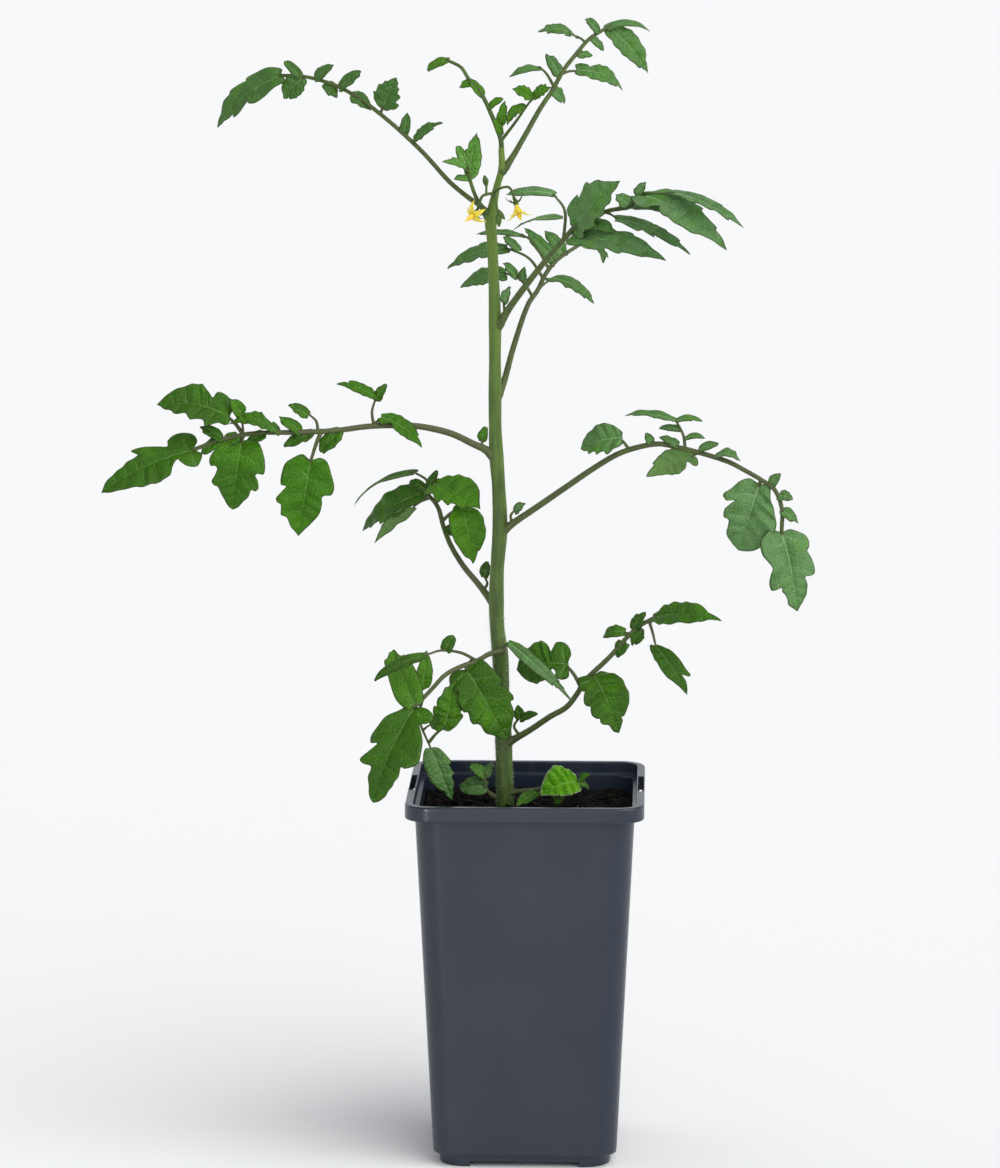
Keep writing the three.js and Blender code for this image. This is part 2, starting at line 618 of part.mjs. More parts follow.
const curled = {
  name: 'leaf_curled',
  root: [-20, 0],
  lean: 0.9,
  radii: [1.2, 0.9],
  colour: youngColour,
  rachis: [[-19, 519], [-26, 527], [-30, 537], [-32, 547]],
  leaflets: [
    { base: [-31, 541], tip: [-27, 565], width: 11, face: [20, 10], arch: -3, fold: 32 },
    { base: [-32, 545], tip: [-45, 551], width: 7, edge: 'plain', face: [-20, 40], arch: 2, fold: 25 },
    { base: [-32, 546], tip: [-38, -7, 558], width: 6, edge: 'small', arch: 1 },
    { base: [-31, 540], tip: [-39, 541], width: 5, edge: 'small', arch: 1 },
  ],
};

const topRight = {
  name: 'leaf_top_right',
  root: [-14, 0],
  lean: 0.6,
  rise: -0.037,
  radii: [1.6, 0.95],
  rachis: [[-14, 543], [-9, 550], [-2, 562], [7, 578], [13, 587], [19, 598], [26, 607], [33, 615], [44, 622]],
  branches: [[[14, 589], [10, 596], [6, 600]]],
  leaflets: [
    { from: [31, 613], base: [25, 617], tip: [5, 619], width: 10, edge: 'plain', face: [0, 50], arch: 3 },
    { base: [38, 618.5], tip: [31, 626], width: 6, edge: 'small', arch: 1 },
    { base: [42, 621], tip: [66, 619], width: 7.5, edge: 'small', face: [0, 60], arch: 4 },
    { base: [43, 621], tip: [65, 596], width: 15, face: [10, 35], arch: 4 },
    { base: [34, 615], tip: [41, 609], width: 6, edge: 'small', arch: 1 },
    { from: [18, 596], base: [26, 598], tip: [51, 587], width: 13, face: [5, 45], arch: 5 },
    { base: [26, 606], tip: [35, 606], width: 6, edge: 'small', arch: 1 },
    { base: [7, 599], tip: [-10, 595], width: 7.5, edge: 'small', face: [0, 60], arch: 2 },
    { base: [17, 595], tip: [10, 607], width: 7.5, edge: 'small', arch: 1 },
    { base: [13, 588], tip: [20, 580], width: 8, edge: 'plain', arch: 1 },
  ],
};

const shootTip = {
  name: 'shoot_tip',
  root: [-14, 0],
  lean: -0.3,
  radii: [1.4, 0.85],
  colour: youngColour,
  rachis: [
    [-14, 0, 556.4], [-14.5, 0, 561], [-17, 568], [-20, 575], [-25, 585], [-32, 593], [-36, 599],
    [-44, 603],
  ],
  branches: [
    [[-14.3, 0, 560], [-12, 563], [-6, 571], [1, 581], [5, 585]],
    [[-14.5, 0, 561], [-14.5, -1, 570]],
  ],
  leaflets: [
    { base: [-43, 603], tip: [-55, 597], width: 6, edge: 'small', arch: 2 },
    { base: [-24, 584], tip: [-33, 594], width: 6, edge: 'small', arch: 1 },
    { base: [-30, 591], tip: [-37, 589], width: 6, edge: 'small', arch: 1 },
    { base: [-21, 578], tip: [-13, 583], width: 5, edge: 'small', arch: 1 },
    { base: [4, 584], tip: [13, 590], width: 8, edge: 'plain', fold: 30, arch: 1 },
    { base: [-1, 579], tip: [-11, -6, 569], width: 8, face: [-10, 50], fold: 25, arch: 3 },
    { base: [3, 583], tip: [-8, -6, 589], width: 8, edge: 'plain', fold: 30, arch: 1 },
    { base: [-14.5, -1, 569], tip: [-12, -3, 582], width: 6, edge: 'small', arch: 1 },
    { base: [-14.4, 0, 563], tip: [-18, -5, 573], width: 5, edge: 'small', arch: 1 },
  ],
};

const baseLeft = {
  name: 'base_shoot_left',
  root: [-12, 0],
  lean: 0.3,
  radii: [1.3, 0.85],
  rachis: [[-12, 197], [-19, 199], [-23, 204], [-23, 211]],
  leaflets: [
    { base: [-23, 210], tip: [-32, 216], width: 8, edge: 'plain', arch: 2 },
    { base: [-23, 209], tip: [-19, 9, 216], width: 6, edge: 'small', arch: 1 },
    { base: [-22, 204], tip: [-37, -2, 203], width: 11, edge: 'plain', face: [0, 25], arch: 2 },
  ],
};

const baseRight = {
  name: 'base_shoot_right',
  root: [-12, 0],
  lean: -0.3,
  radii: [1.35, 0.95],
  colour: youngColour,
  rachis: [[-12, 199], [-5, 201], [10, 204], [24, 208], [30, 210]],
  leaflets: [
    { base: [28, 209.5], tip: [8, -20, 203], width: 19, face: [0, 28], arch: 4, fold: 25 },
    { base: [29, 210], tip: [35, 214], width: 5, edge: 'small', arch: 1 },
    { base: [28, 209], tip: [35, -3, 203], width: 5, edge: 'small', arch: 1 },
    { base: [20, 206], tip: [17, -20, 198], width: 7.5, edge: 'small', arch: 2 },
    { base: [6, 202.5], tip: [-5, -20, 197], width: 8, edge: 'plain', arch: 1 },
  ],
};

// The flower stalks with their calyxes and buds, in one body.
const flowers = [
  { name: 'flower_left', centre: [-29, -13, 521], looks: [-45, -25], reach: 7.2, bendBack: 4 },
  { name: 'flower_right', centre: [-5.5, -13, 526], looks: [30, -64], reach: 5.8, bendBack: -8 },
];
const flowerPetals = 5;
const coneLength = 6;
const coneRadius = 1.5;

// Narrow blades in a ring round a flower's axis, bent back from its face, or forward where that is negative.
function ringOfBlades(centre, axis, { reach, width, bendBack, turn, edge }) {
  const first = new THREE.Vector3(0, 0, 1).cross(axis).normalize();
  const second = axis.clone().cross(first);
  const ring = [];
  for (let i = 0; i < flowerPetals; i += 1) {
    const angle = turn + (2 * Math.PI * i) / flowerPetals;
    const out = first.clone().multiplyScalar(Math.cos(angle)).addScaledVector(second, Math.sin(angle));
    const tip = centre.clone().addScaledVector(out, reach).addScaledVector(axis, -bendBack);
    ring.push(blade({ base: centre.clone(), tip, width, edge, face: axis, arch: 1, fold: 8 }));
  }
  return ring;
}

function flowerMesh({ name, centre, looks, reach, bendBack }) {
  const axis = facing(looks);
  const heart = new THREE.Vector3(...centre);
  const coneTip = heart.clone().addScaledVector(axis, coneLength);
  const coneFoot = heart.clone().addScaledVector(axis, -0.6);
  const cone = taperedStalk([coneFoot, coneTip], coneRadius, 0.5, 6, 1);
  const petals = ringOfBlades(heart, axis, { reach, width: 3.6, bendBack, turn: 0.3, edge: 'plain' });
  return meshOf(name, joined([cone, ...petals]), petalColour);
}

// A calyx: a small cup behind the flower with five sepals, a little clear of the petals.
function calyx({ centre, looks }) {
  const axis = facing(looks);
  const heart = new THREE.Vector3(...centre).addScaledVector(axis, -1.9);
  const foot = heart.clone().addScaledVector(axis, -2.4);
  const cup = taperedStalk([foot, heart.clone().addScaledVector(axis, 0.5)], 0.9, 1.5, 6, 1);
  return [cup, ...ringOfBlades(heart, axis, { reach: 6, width: 1.8, bendBack: 3.5, turn: 0.93, edge: 'small' })];
}

function budSolid(foot, tip, radius) {
  const from = new THREE.Vector3(...foot);
  const to = new THREE.Vector3(...tip);
  return stalk([from, to], (share) => 0.25 + radius * Math.sin(Math.PI * (0.12 + 0.83 * share)), 6, 4);
}

function trussMesh(stemRoom) {
  const line = (points, start, end) =>
    taperedStalk(points.map((p) => new THREE.Vector3(...p)), start, end, 4, points.length);
  const pieces = [
    line([[-18, 0, 529], [-19, -6, 532], [-24, -9, 531], [-26, -9, 526], [-27, -10, 523]], 1.1, 0.8),
    line([[-19, -6, 531.6], [-15, -9, 535], [-10, -10.5, 536], [-7.5, -12, 533], [-7, -12.3, 529.5]], 0.9, 0.8),
    line([[-16.6, -7.8, 534], [-16.6, -11, 529], [-15.5, -12, 521]], 0.8, 0.7),
    line([[-22, -8, 531.4], [-22, -8, 537]], 0.8, 0.7),
    budSolid([-22, -8, 536.5], [-23, -8.5, 542], 1.3),
    budSolid([-15.5, -12, 521.5], [-15, -13, 515], 1.5),
    budSolid([-16, -11.5, 524], [-12, -13, 519], 1.1),
  ];
  flowers.forEach((flower) => pieces.push(...calyx(flower)));
  return meshOf('flower_truss', joined(pieces).subtract(stemRoom), stemColour);
}

const plant = new THREE.Group();
const stemRoom = stemSolid(stemGap);
plant.add(potMesh(), soilMesh(stemRoom), meshOf('main_stem', stemSolid(0), stemColour));
[
  lowRight, lowLeft, midLeft, midRight, upperLeft, upperBack, upperRight,
  topLeft, topRight, curled, shootTip, baseLeft, baseRight,
].forEach((plan) => plant.add(compoundLeaf(plan, stemRoom)));
plant.add(trussMesh(stemRoom));
flowers.forEach((flower) => plant.add(flowerMesh(flower)));

export default plant;
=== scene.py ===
import math
import bpy
import numpy as np
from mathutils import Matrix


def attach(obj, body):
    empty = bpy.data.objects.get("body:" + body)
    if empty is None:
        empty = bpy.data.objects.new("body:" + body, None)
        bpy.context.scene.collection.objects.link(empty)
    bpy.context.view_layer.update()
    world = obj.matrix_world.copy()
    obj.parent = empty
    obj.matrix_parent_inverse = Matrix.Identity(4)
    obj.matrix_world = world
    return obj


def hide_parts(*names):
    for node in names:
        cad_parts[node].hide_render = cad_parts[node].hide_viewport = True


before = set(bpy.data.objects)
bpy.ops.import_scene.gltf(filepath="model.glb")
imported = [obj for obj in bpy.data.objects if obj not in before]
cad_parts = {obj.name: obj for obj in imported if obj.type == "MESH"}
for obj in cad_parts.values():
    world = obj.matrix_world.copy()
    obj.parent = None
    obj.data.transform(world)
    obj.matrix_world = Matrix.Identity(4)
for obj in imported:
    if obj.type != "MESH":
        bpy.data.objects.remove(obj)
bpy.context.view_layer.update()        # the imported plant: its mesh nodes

# A young tomato plant in a square nursery pot. Sizes are in mm until makePiece turns them to metres.
# +X is right, +Y is to the back and +Z is up, from the centre of the pot's base.
mm = 0.001
print("stage: frame loaded,", len(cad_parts), "nodes")


# Points and faces of one closed surface. Faces are blocks of equally long rows of point numbers.
# Every other value is a mark: one number, or one number a point, that the materials read.
def patch(points, faces, skin=0, **marks):
    return {"points": np.asarray(points, float), "faces": faces, "skin": skin, "marks": marks}


def faceRows(patches):
    start, rows, skins = 0, [], []
    for one in patches:
        for block in one["faces"]:
            rows += (np.asarray(block) + start).tolist()
            skins += [one["skin"]] * len(block)
        start += len(one["points"])
    return rows, skins


# Joins patches in one mesh object that stands for a node of the frame and rides on the plant's body.
def makePiece(name, patches, materials, slot, node):
    rows, skins = faceRows(patches)
    mesh = bpy.data.meshes.new(name)
    mesh.from_pydata(np.vstack([one["points"] for one in patches]) * mm, [], rows)
    mesh.polygons.foreach_set("material_index", skins)
    mesh.polygons.foreach_set("use_smooth", [True] * len(rows))
    for mark in sorted({word for one in patches for word in one["marks"]}):
        values = [np.broadcast_to(one["marks"].get(mark, 0.0), len(one["points"])) for one in patches]
        layer = mesh.attributes.new(mark, "FLOAT", "POINT")
        layer.data.foreach_set("value", np.concatenate(values).astype(np.float32))
    for material in materials:
        mesh.materials.append(material)
    mesh.update()
    piece = bpy.data.objects.new(name, mesh)
    bpy.context.scene.collection.objects.link(piece)
    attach(piece, "root")
    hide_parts(node)
    return piece


def unit(vectors):
    return vectors / np.linalg.norm(vectors, axis=-1, keepdims=True)


def gridNumbers(rows, columns):
    return np.arange(rows * columns).reshape(rows, columns)


# Four-cornered faces between rows and columns. A closed grid joins its last column to its first.
def gridFaces(numbers, closed=False):
    if closed:
        numbers = np.hstack([numbers, numbers[:, :1]])
    corners = [numbers[:-1, :-1], numbers[:-1, 1:], numbers[1:, 1:], numbers[1:, :-1]]
    return np.stack(corners, -1).reshape(-1, 4)


# Closes both ends of a closed grid with a fan of triangles round a pole.
def poleFaces(numbers, startPole, endPole):
    first, last = numbers[0], numbers[-1]
    start = np.stack([np.full_like(first, startPole), np.roll(first, -1), first], -1)
    end = np.stack([np.full_like(last, endPole), last, np.roll(last, -1)], -1)
    return np.vstack([start, end])


# A smooth curve through the points in even steps. Each span blends the straight lines through its four
# nearest points, whose knots are a root of the distance apart, and the ends get a mirrored neighbour.
def smoothPath(points, steps):
    fine = 24 * len(points)    # steps of the curve before they are made even
    p = np.asarray(points, float)
    p = np.vstack([2 * p[0] - p[1], p, 2 * p[-1] - p[-2]])
    knots = np.concatenate([[0], np.cumsum(np.linalg.norm(np.diff(p, axis=0), axis=1) ** 0.5)])
    t = np.linspace(knots[1], knots[-2], fine)
    k = np.clip(np.searchsorted(knots, t, side="right") - 1, 1, len(p) - 3)

    def line(a, b, i, j):
        share = ((t - knots[k + i]) / (knots[k + j] - knots[k + i]))[:, None]
        return a + (b - a) * share

    low = line(p[k - 1], p[k], -1, 0)
    middle = line(p[k], p[k + 1], 0, 1)
    high = line(p[k + 1], p[k + 2], 1, 2)
    curve = line(line(low, middle, -1, 1), line(middle, high, 0, 2), 0, 1)
    run = np.concatenate([[0], np.cumsum(np.linalg.norm(np.diff(curve, axis=0), axis=1))])
    even = np.linspace(0, run[-1], steps)
    return np.stack([np.interp(even, run, curve[:, i]) for i in range(3)], 1)


# The way ahead along a path and two directions across it, steady because both come from one fixed axis.
def crossFrame(path):
    ahead = unit(np.gradient(path, axis=0))
    axis = np.eye(3)[np.argmin(np.abs(ahead).max(axis=0))]
    first = unit(np.cross(np.broadcast_to(axis, ahead.shape), ahead))
    return ahead, first, np.cross(ahead, first)


# At each step of a path, the directions that stand round it at the given angles.
def spokes(first, second, angles):
    return first[:, None] * np.cos(angles)[:, None] + second[:, None] * np.sin(angles)[:, None]


dome = {"step": 0.5, "girth": 0.75, "pole": 0.3}    # rounded end of a stalk, in shares of its radius


# A round stalk: circles of the given radius stand across the path, with low ribs along it if asked,
# and each end is domed to a pole.
def tube(path, radius, sides=10, ribs=0, ribHeight=0.0, skin=0, **marks):
    ahead, first, second = crossFrame(path)
    path = np.vstack([path[:1] - ahead[:1] * radius[0] * dome["step"], path,
                      path[-1:] + ahead[-1:] * radius[-1] * dome["step"]])
    radius = np.concatenate([[radius[0] * dome["girth"]], radius, [radius[-1] * dome["girth"]]])
    ahead, first, second = [np.vstack([v[:1], v, v[-1:]]) for v in (ahead, first, second)]
    angles = np.linspace(0, 2 * np.pi, sides, endpoint=False)
    ring = radius[:, None] * (1 + ribHeight * np.cos(ribs * angles))[None, :]
    points = (path[:, None] + spokes(first, second, angles) * ring[..., None]).reshape(-1, 3)
    reach = dome["pole"]
    poles = [path[0] - ahead[0] * radius[0] * reach, path[-1] + ahead[-1] * radius[-1] * reach]
    numbers = gridNumbers(len(path), sides)
    faces = [gridFaces(numbers, True), poleFaces(numbers, numbers.size, numbers.size + 1)]
    return patch(np.vstack([points, poles]), faces, skin, **marks)


hair = {
    "sunk": 0.1,               # share of the stalk's radius that a hair starts inside
    "lean": 0.28,              # how far hairs lean at random
    "lengths": (0.35, 1.1),    # shortest and longest, as shares of the given length
}


# Fine hairs on a stalk: three-sided needles that stand out from it, leaning a little at random.
def hairs(path, radius, count, length, thick, seed, skin=1):
    draw = np.random.default_rng(seed)
    ahead, first, second = crossFrame(path)
    row = draw.integers(0, len(path), count)
    angle = draw.uniform(0, 2 * np.pi, count)[:, None]
    step = np.linalg.norm(path[1] - path[0]) * draw.uniform(-0.5, 0.5, count)[:, None]
    out = first[row] * np.cos(angle) + second[row] * np.sin(angle)
    foot = path[row] + ahead[row] * step + out * radius[row][:, None] * (1 - hair["sunk"])
    way = unit(out + draw.normal(0, hair["lean"], (count, 3)))
    side = unit(np.cross(way, ahead[row]))
    around = spokes(side, np.cross(way, side), np.array([0, 2, 4]) * np.pi / 3)
    reach = (draw.uniform(*hair["lengths"], count) * length + hair["sunk"] * radius[row])[:, None]
    points = np.concatenate([foot[:, None] + thick * around, (foot + way * reach)[:, None]], 1)
    faces = np.array([[0, 1, 3], [1, 2, 3], [2, 0, 3], [0, 2, 1]])
    faces = (faces[None] + 4 * np.arange(count)[:, None, None]).reshape(-1, 3)
    return patch(points.reshape(-1, 3), [faces], skin)


# Soft random lumps: random heights at the corners of square cells, blended smoothly between them.
def lumps(x, y, cell, seed):
    cells = 64    # after so many cells the heights come again
    heights = np.random.default_rng(seed).uniform(-1, 1, (cells, cells))
    column, row = np.floor(x / cell).astype(int), np.floor(y / cell).astype(int)
    u, v = x / cell - column, y / cell - row
    u, v = u * u * (3 - 2 * u), v * v * (3 - 2 * v)
    corner = [[heights[(column + i) % cells, (row + j) % cells] for j in (0, 1)] for i in (0, 1)]
    low = corner[0][0] * (1 - u) + corner[1][0] * u
    high = corner[0][1] * (1 - u) + corner[1][1] * u
    return low * (1 - v) + high * v


# Materials

# Adds a shader node. Inputs are given by name or number, as a constant or as another node's output, from
# which the helpers below also learn the tree that they add to.
def shaderNode(tree, kind, inputs=(), **settings):
    node = tree.nodes.new(kind)
    for name, value in settings.items():
        setattr(node, name, value)
    for key, value in dict(inputs).items():
        if isinstance(value, bpy.types.NodeSocket):
            tree.links.new(value, node.inputs[key])
        else:
            node.inputs[key].default_value = value
    return node


def newMaterial(name, surface):
    material = bpy.data.materials.new(name)
    material.use_nodes = True
    tree = material.node_tree
    shader = next(node for node in tree.nodes if node.type == "BSDF_PRINCIPLED")
    for key, value in surface.items():
        shader.inputs[key].default_value = value
    return material, tree, shader


def readMark(tree, name):
    return shaderNode(tree, "ShaderNodeAttribute", attribute_name=name).outputs["Fac"]


def objectPlace(tree, stretch=(1, 1, 1)):
    place = shaderNode(tree, "ShaderNodeTexCoord").outputs["Object"]
    return shaderNode(tree, "ShaderNodeMapping", {"Vector": place, "Scale": stretch}).outputs["Vector"]


def noise(place, scale, detail=3, roughness=0.5):
    inputs = {"Vector": place, "Scale": scale, "Detail": detail, "Roughness": roughness}
    return shaderNode(place.id_data, "ShaderNodeTexNoise", inputs).outputs["Fac"]


# Turns values between two limits into a smooth share between two others.
def smoothShare(value, low, high, start=0.0, end=1.0):
    inputs = {"Value": value, "From Min": low, "From Max": high, "To Min": start, "To Max": end}
    node = shaderNode(value.id_data, "ShaderNodeMapRange", inputs, interpolation_type="SMOOTHSTEP")
    return node.outputs["Result"]


def maths(operation, first, second=0.0):
    node = shaderNode(first.id_data, "ShaderNodeMath", {0: first, 1: second}, operation=operation)
    return node.outputs[0]


def times(first, second):
    return maths("MULTIPLY", first, second)


def plus(first, second):
    return maths("ADD", first, second)


def blend(share, first, second):
    inputs = {0: share, 6: first, 7: second}
    return shaderNode(share.id_data, "ShaderNodeMix", inputs, data_type="RGBA").outputs[2]


def setInput(shader, name, value):
    shader.id_data.links.new(value, shader.inputs[name])


def bump(shader, height, depth, strength=1.0):
    inputs = {"Height": height, "Distance": depth, "Strength": strength}
    setInput(shader, "Normal", shaderNode(shader.id_data, "ShaderNodeBump", inputs).outputs["Normal"])


def colour(red, green, blue):
    return (red, green, blue, 1.0)


# In the looks below, streaks, clouds, grain and the like are scales of noises, and depths are in metres.
potLook = {
    "plastic": colour(0.011, 0.018, 0.032),
    "worn": colour(0.015, 0.022, 0.037),
    "roughness": 0.3,
    "roughnessRange": (0.27, 0.35),
    "streaks": 60,
    "streakStretch": (1, 1, 0.06),    # drawn out upright
    "clouds": 22,
    "grain": 1400,
    "depth": 0.00002,
}


# Satin grey plastic with faint upright flow streaks and a fine moulded grain.
def potMaterial():
    material, tree, shader = newMaterial("potPlastic", {"Roughness": potLook["roughness"]})
    streaks = noise(objectPlace(tree, potLook["streakStretch"]), potLook["streaks"], 4)
    clouds = noise(objectPlace(tree), potLook["clouds"], 4)
    share = times(smoothShare(streaks, 0.35, 0.75), smoothShare(clouds, 0.3, 0.8))
    setInput(shader, "Base Color", blend(share, potLook["plastic"], potLook["worn"]))
    rough = smoothShare(clouds, 0.3, 0.7, *potLook["roughnessRange"])
    setInput(shader, "Roughness", rough)
    grain = noise(objectPlace(tree), potLook["grain"], 2)
    bump(shader, plus(grain, times(streaks, 0.6)), potLook["depth"], 0.4)
    return material


compostLook = {
    "wet": colour(0.002, 0.0016, 0.0013),
    "dry": colour(0.006, 0.0045, 0.0032),
    "bark": colour(0.016, 0.010, 0.006),
    "perlite": colour(0.16, 0.15, 0.12),
    "clumps": 160,
    "crumbs": 900,
    "depth": 0.0009,
}


# Dark crumbly compost, lighter on its raised crumbs.
def compostMaterial():
    material, tree, shader = newMaterial("compostCrumbs", {"Roughness": 0.95, "Specular IOR Level": 0.15})
    coarse = noise(objectPlace(tree), compostLook["clumps"], 6, 0.65)
    fine = noise(objectPlace(tree), compostLook["crumbs"], 4, 0.6)
    base = blend(smoothShare(coarse, 0.35, 0.7), compostLook["wet"], compostLook["dry"])
    for mark in ("bark", "perlite"):
        base = blend(readMark(tree, mark), base, compostLook[mark])
    setInput(shader, "Base Color", base)
    bump(shader, plus(coarse, fine), compostLook["depth"], 0.9)
    return material


stemLook = {
    "green": colour(0.074, 0.146, 0.013),
    "shade": colour(0.040, 0.080, 0.010),
    "young": colour(0.126, 0.226, 0.020),
    "tan": colour(0.075, 0.074, 0.030),
    "hair": colour(0.52, 0.60, 0.40),
    "oldHair": colour(0.40, 0.50, 0.26),
    "streaks": 420,
    "streakStretch": (1, 1, 0.12),    # drawn out upright
    "clouds": 60,
    "grain": 2600,
    "hairClouds": 300,
    "depth": 0.00025,
}


# Green stalks with long faint streaks, browner where they are marked as tanned, and a soft skin.
def stemMaterial():
    material, tree, shader = newMaterial("stemSkin", {
        "Roughness": 0.5, "Specular IOR Level": 0.35,
        "Subsurface Weight": 0.12, "Subsurface Scale": 0.002, "Subsurface Radius": (0.5, 1.0, 0.25)})
    streaks = noise(objectPlace(tree, stemLook["streakStretch"]), stemLook["streaks"], 4)
    clouds = noise(objectPlace(tree), stemLook["clouds"], 3)
    base = blend(smoothShare(streaks, 0.35, 0.68), stemLook["shade"], stemLook["green"])
    base = blend(readMark(tree, "youth"), base, stemLook["young"])
    tanned = times(readMark(tree, "tan"), smoothShare(clouds, 0.2, 0.65, 0.45, 1.0))
    setInput(shader, "Base Color", blend(tanned, base, stemLook["tan"]))
    grain = noise(objectPlace(tree), stemLook["grain"], 2)
    bump(shader, plus(streaks, grain), stemLook["depth"], 0.6)
    return material


def hairMaterial():
    material, tree, shader = newMaterial("stemHair", {"Roughness": 0.7})
    tint = noise(objectPlace(tree), stemLook["hairClouds"], 2)
    setInput(shader, "Base Color", blend(tint, stemLook["hair"], stemLook["oldHair"]))
    return material


leafLook = {
    "deep": colour(0.027, 0.082, 0.003),
    "fresh": colour(0.043, 0.158, 0.001),
    "light": colour(0.075, 0.235, 0.004),
    "bluish": colour(0.112, 0.228, 0.080),
    "young": colour(0.115, 0.335, 0.009),
    "vein": colour(0.165, 0.300, 0.080),
    "paleVein": colour(0.250, 0.400, 0.190),
    "margin": colour(0.030, 0.034, 0.016),
    "under": colour(0.150, 0.250, 0.085),
    "paleRim": colour(0.420, 0.520, 0.300),
    "ribReach": (0.152, 0.646),      # mm from its middle, where the midrib starts to fade and where it ends
    "lateralReach": (0.06, 0.32),    # the same for side veins
    "ribStrength": 0.6,
    "lateralStrength": 0.42,
    "marginReach": (0.15, 0.9),      # mm from the edge
    "roughness": (0.38, 0.62),       # above and below
    "mottle": 130,
    "clouds": 55,
    "stray": 120,                    # how fast side veins waver
    "grain": 1300,
    "net": 0.42,                     # cells of the net of veinlets in 1 mm
    "depth": 0.00034,
}


# Leaf skin. Pale midrib and side veins run where the marks fromRib and veinPhase say, the margin is
# dark, the underside pale, and a fine net of veinlets puckers the blade.
def leafMaterial():
    material, tree, shader = newMaterial("leafSkin", {
        "Specular IOR Level": 0.17,
        "Subsurface Weight": 0.22, "Subsurface Scale": 0.0012, "Subsurface Radius": (0.45, 1.0, 0.12)})
    place = objectPlace(tree)
    bluish, under = readMark(tree, "bluish"), readMark(tree, "under")
    base = blend(readMark(tree, "tone"), leafLook["deep"], leafLook["fresh"])
    base = blend(bluish, base, leafLook["bluish"])
    base = blend(readMark(tree, "youth"), base, leafLook["young"])
    mottle = noise(place, leafLook["mottle"], 5, 0.6)
    base = blend(smoothShare(mottle, 0.45, 0.75, 0.0, 0.5), base, leafLook["deep"])
    clouds = noise(place, leafLook["clouds"], 3)
    base = blend(smoothShare(clouds, 0.5, 0.8, 0.0, 0.6), base, leafLook["light"])

    stray = maths("SUBTRACT", noise(place, leafLook["stray"], 2), 0.5)
    phase = maths("FRACT", plus(readMark(tree, "veinPhase"), times(stray, 0.5)))
    offVein = maths("ABSOLUTE", maths("SUBTRACT", phase, 0.5))
    offVein = times(offVein, readMark(tree, "veinSpan"))
    lateral = smoothShare(offVein, *leafLook["lateralReach"], 1.0, 0.0)
    lateral = times(lateral, readMark(tree, "veinFade"))
    rib = smoothShare(readMark(tree, "fromRib"), *leafLook["ribReach"], 1.0, 0.0)
    lateral = times(lateral, leafLook["lateralStrength"])
    veins = maths("MAXIMUM", lateral, times(rib, leafLook["ribStrength"]))
    veins = times(veins, smoothShare(bluish, 0, 1, 1.0, 1.45))
    base = blend(veins, base, blend(bluish, leafLook["vein"], leafLook["paleVein"]))
    base = blend(times(under, 0.72), base, leafLook["under"])
    edge = smoothShare(readMark(tree, "toEdge"), *leafLook["marginReach"], 0.8, 0.0)
    rim = blend(readMark(tree, "paleRim"), leafLook["margin"], leafLook["paleRim"])
    setInput(shader, "Base Color", blend(edge, base, rim))

    rough = plus(smoothShare(under, 0, 1, *leafLook["roughness"]), times(mottle, 0.14))
    setInput(shader, "Roughness", rough)
    flatX, flatY = readMark(tree, "flatX"), readMark(tree, "flatY")
    flat = shaderNode(tree, "ShaderNodeCombineXYZ", {0: flatX, 1: flatY})
    cells = {"Vector": flat.outputs[0], "Scale": leafLook["net"], "Randomness": 0.9}
    shape = {"feature": "DISTANCE_TO_EDGE", "voronoi_dimensions": "2D"}
    net = shaderNode(tree, "ShaderNodeTexVoronoi", cells, **shape).outputs["Distance"]
    veinlets = smoothShare(net, 0.0, 0.35)
    relief = plus(veinlets, times(noise(place, leafLook["grain"], 2), 0.3))
    bump(shader, relief, leafLook["depth"], 0.85)
    return material


petalLook = {
    "petal": colour(0.90, 0.70, 0.045),
    "base": colour(0.80, 0.64, 0.07),
    "cone": colour(0.86, 0.56, 0.03),
    "streaks": 700,
    "depth": 0.0002,
}


# Soft yellow skin with fine streaks, deeper on the cone of anthers.
def petalMaterial():
    material, tree, shader = newMaterial("petalSkin", {
        "Roughness": 0.5,
        "Subsurface Weight": 0.3, "Subsurface Scale": 0.0015, "Subsurface Radius": (1.0, 0.8, 0.2)})
    streaks = noise(objectPlace(tree), petalLook["streaks"], 3)
    base = blend(smoothShare(streaks, 0.35, 0.7), petalLook["base"], petalLook["petal"])
    base = blend(readMark(tree, "cone"), base, petalLook["cone"])
    setInput(shader, "Base Color", base)
    bump(shader, streaks, petalLook["depth"], 0.5)
    return material


potPlastic = potMaterial()
compostCrumbs = compostMaterial()
stemSkin = stemMaterial()
stemHair = hairMaterial()
leafSkin = leafMaterial()
petalSkin = petalMaterial()
leafy = [leafSkin, stemSkin, stemHair]    # of a leaf and of the truss: blades, stalks and their hairs
print("stage: materials made")


# Pot

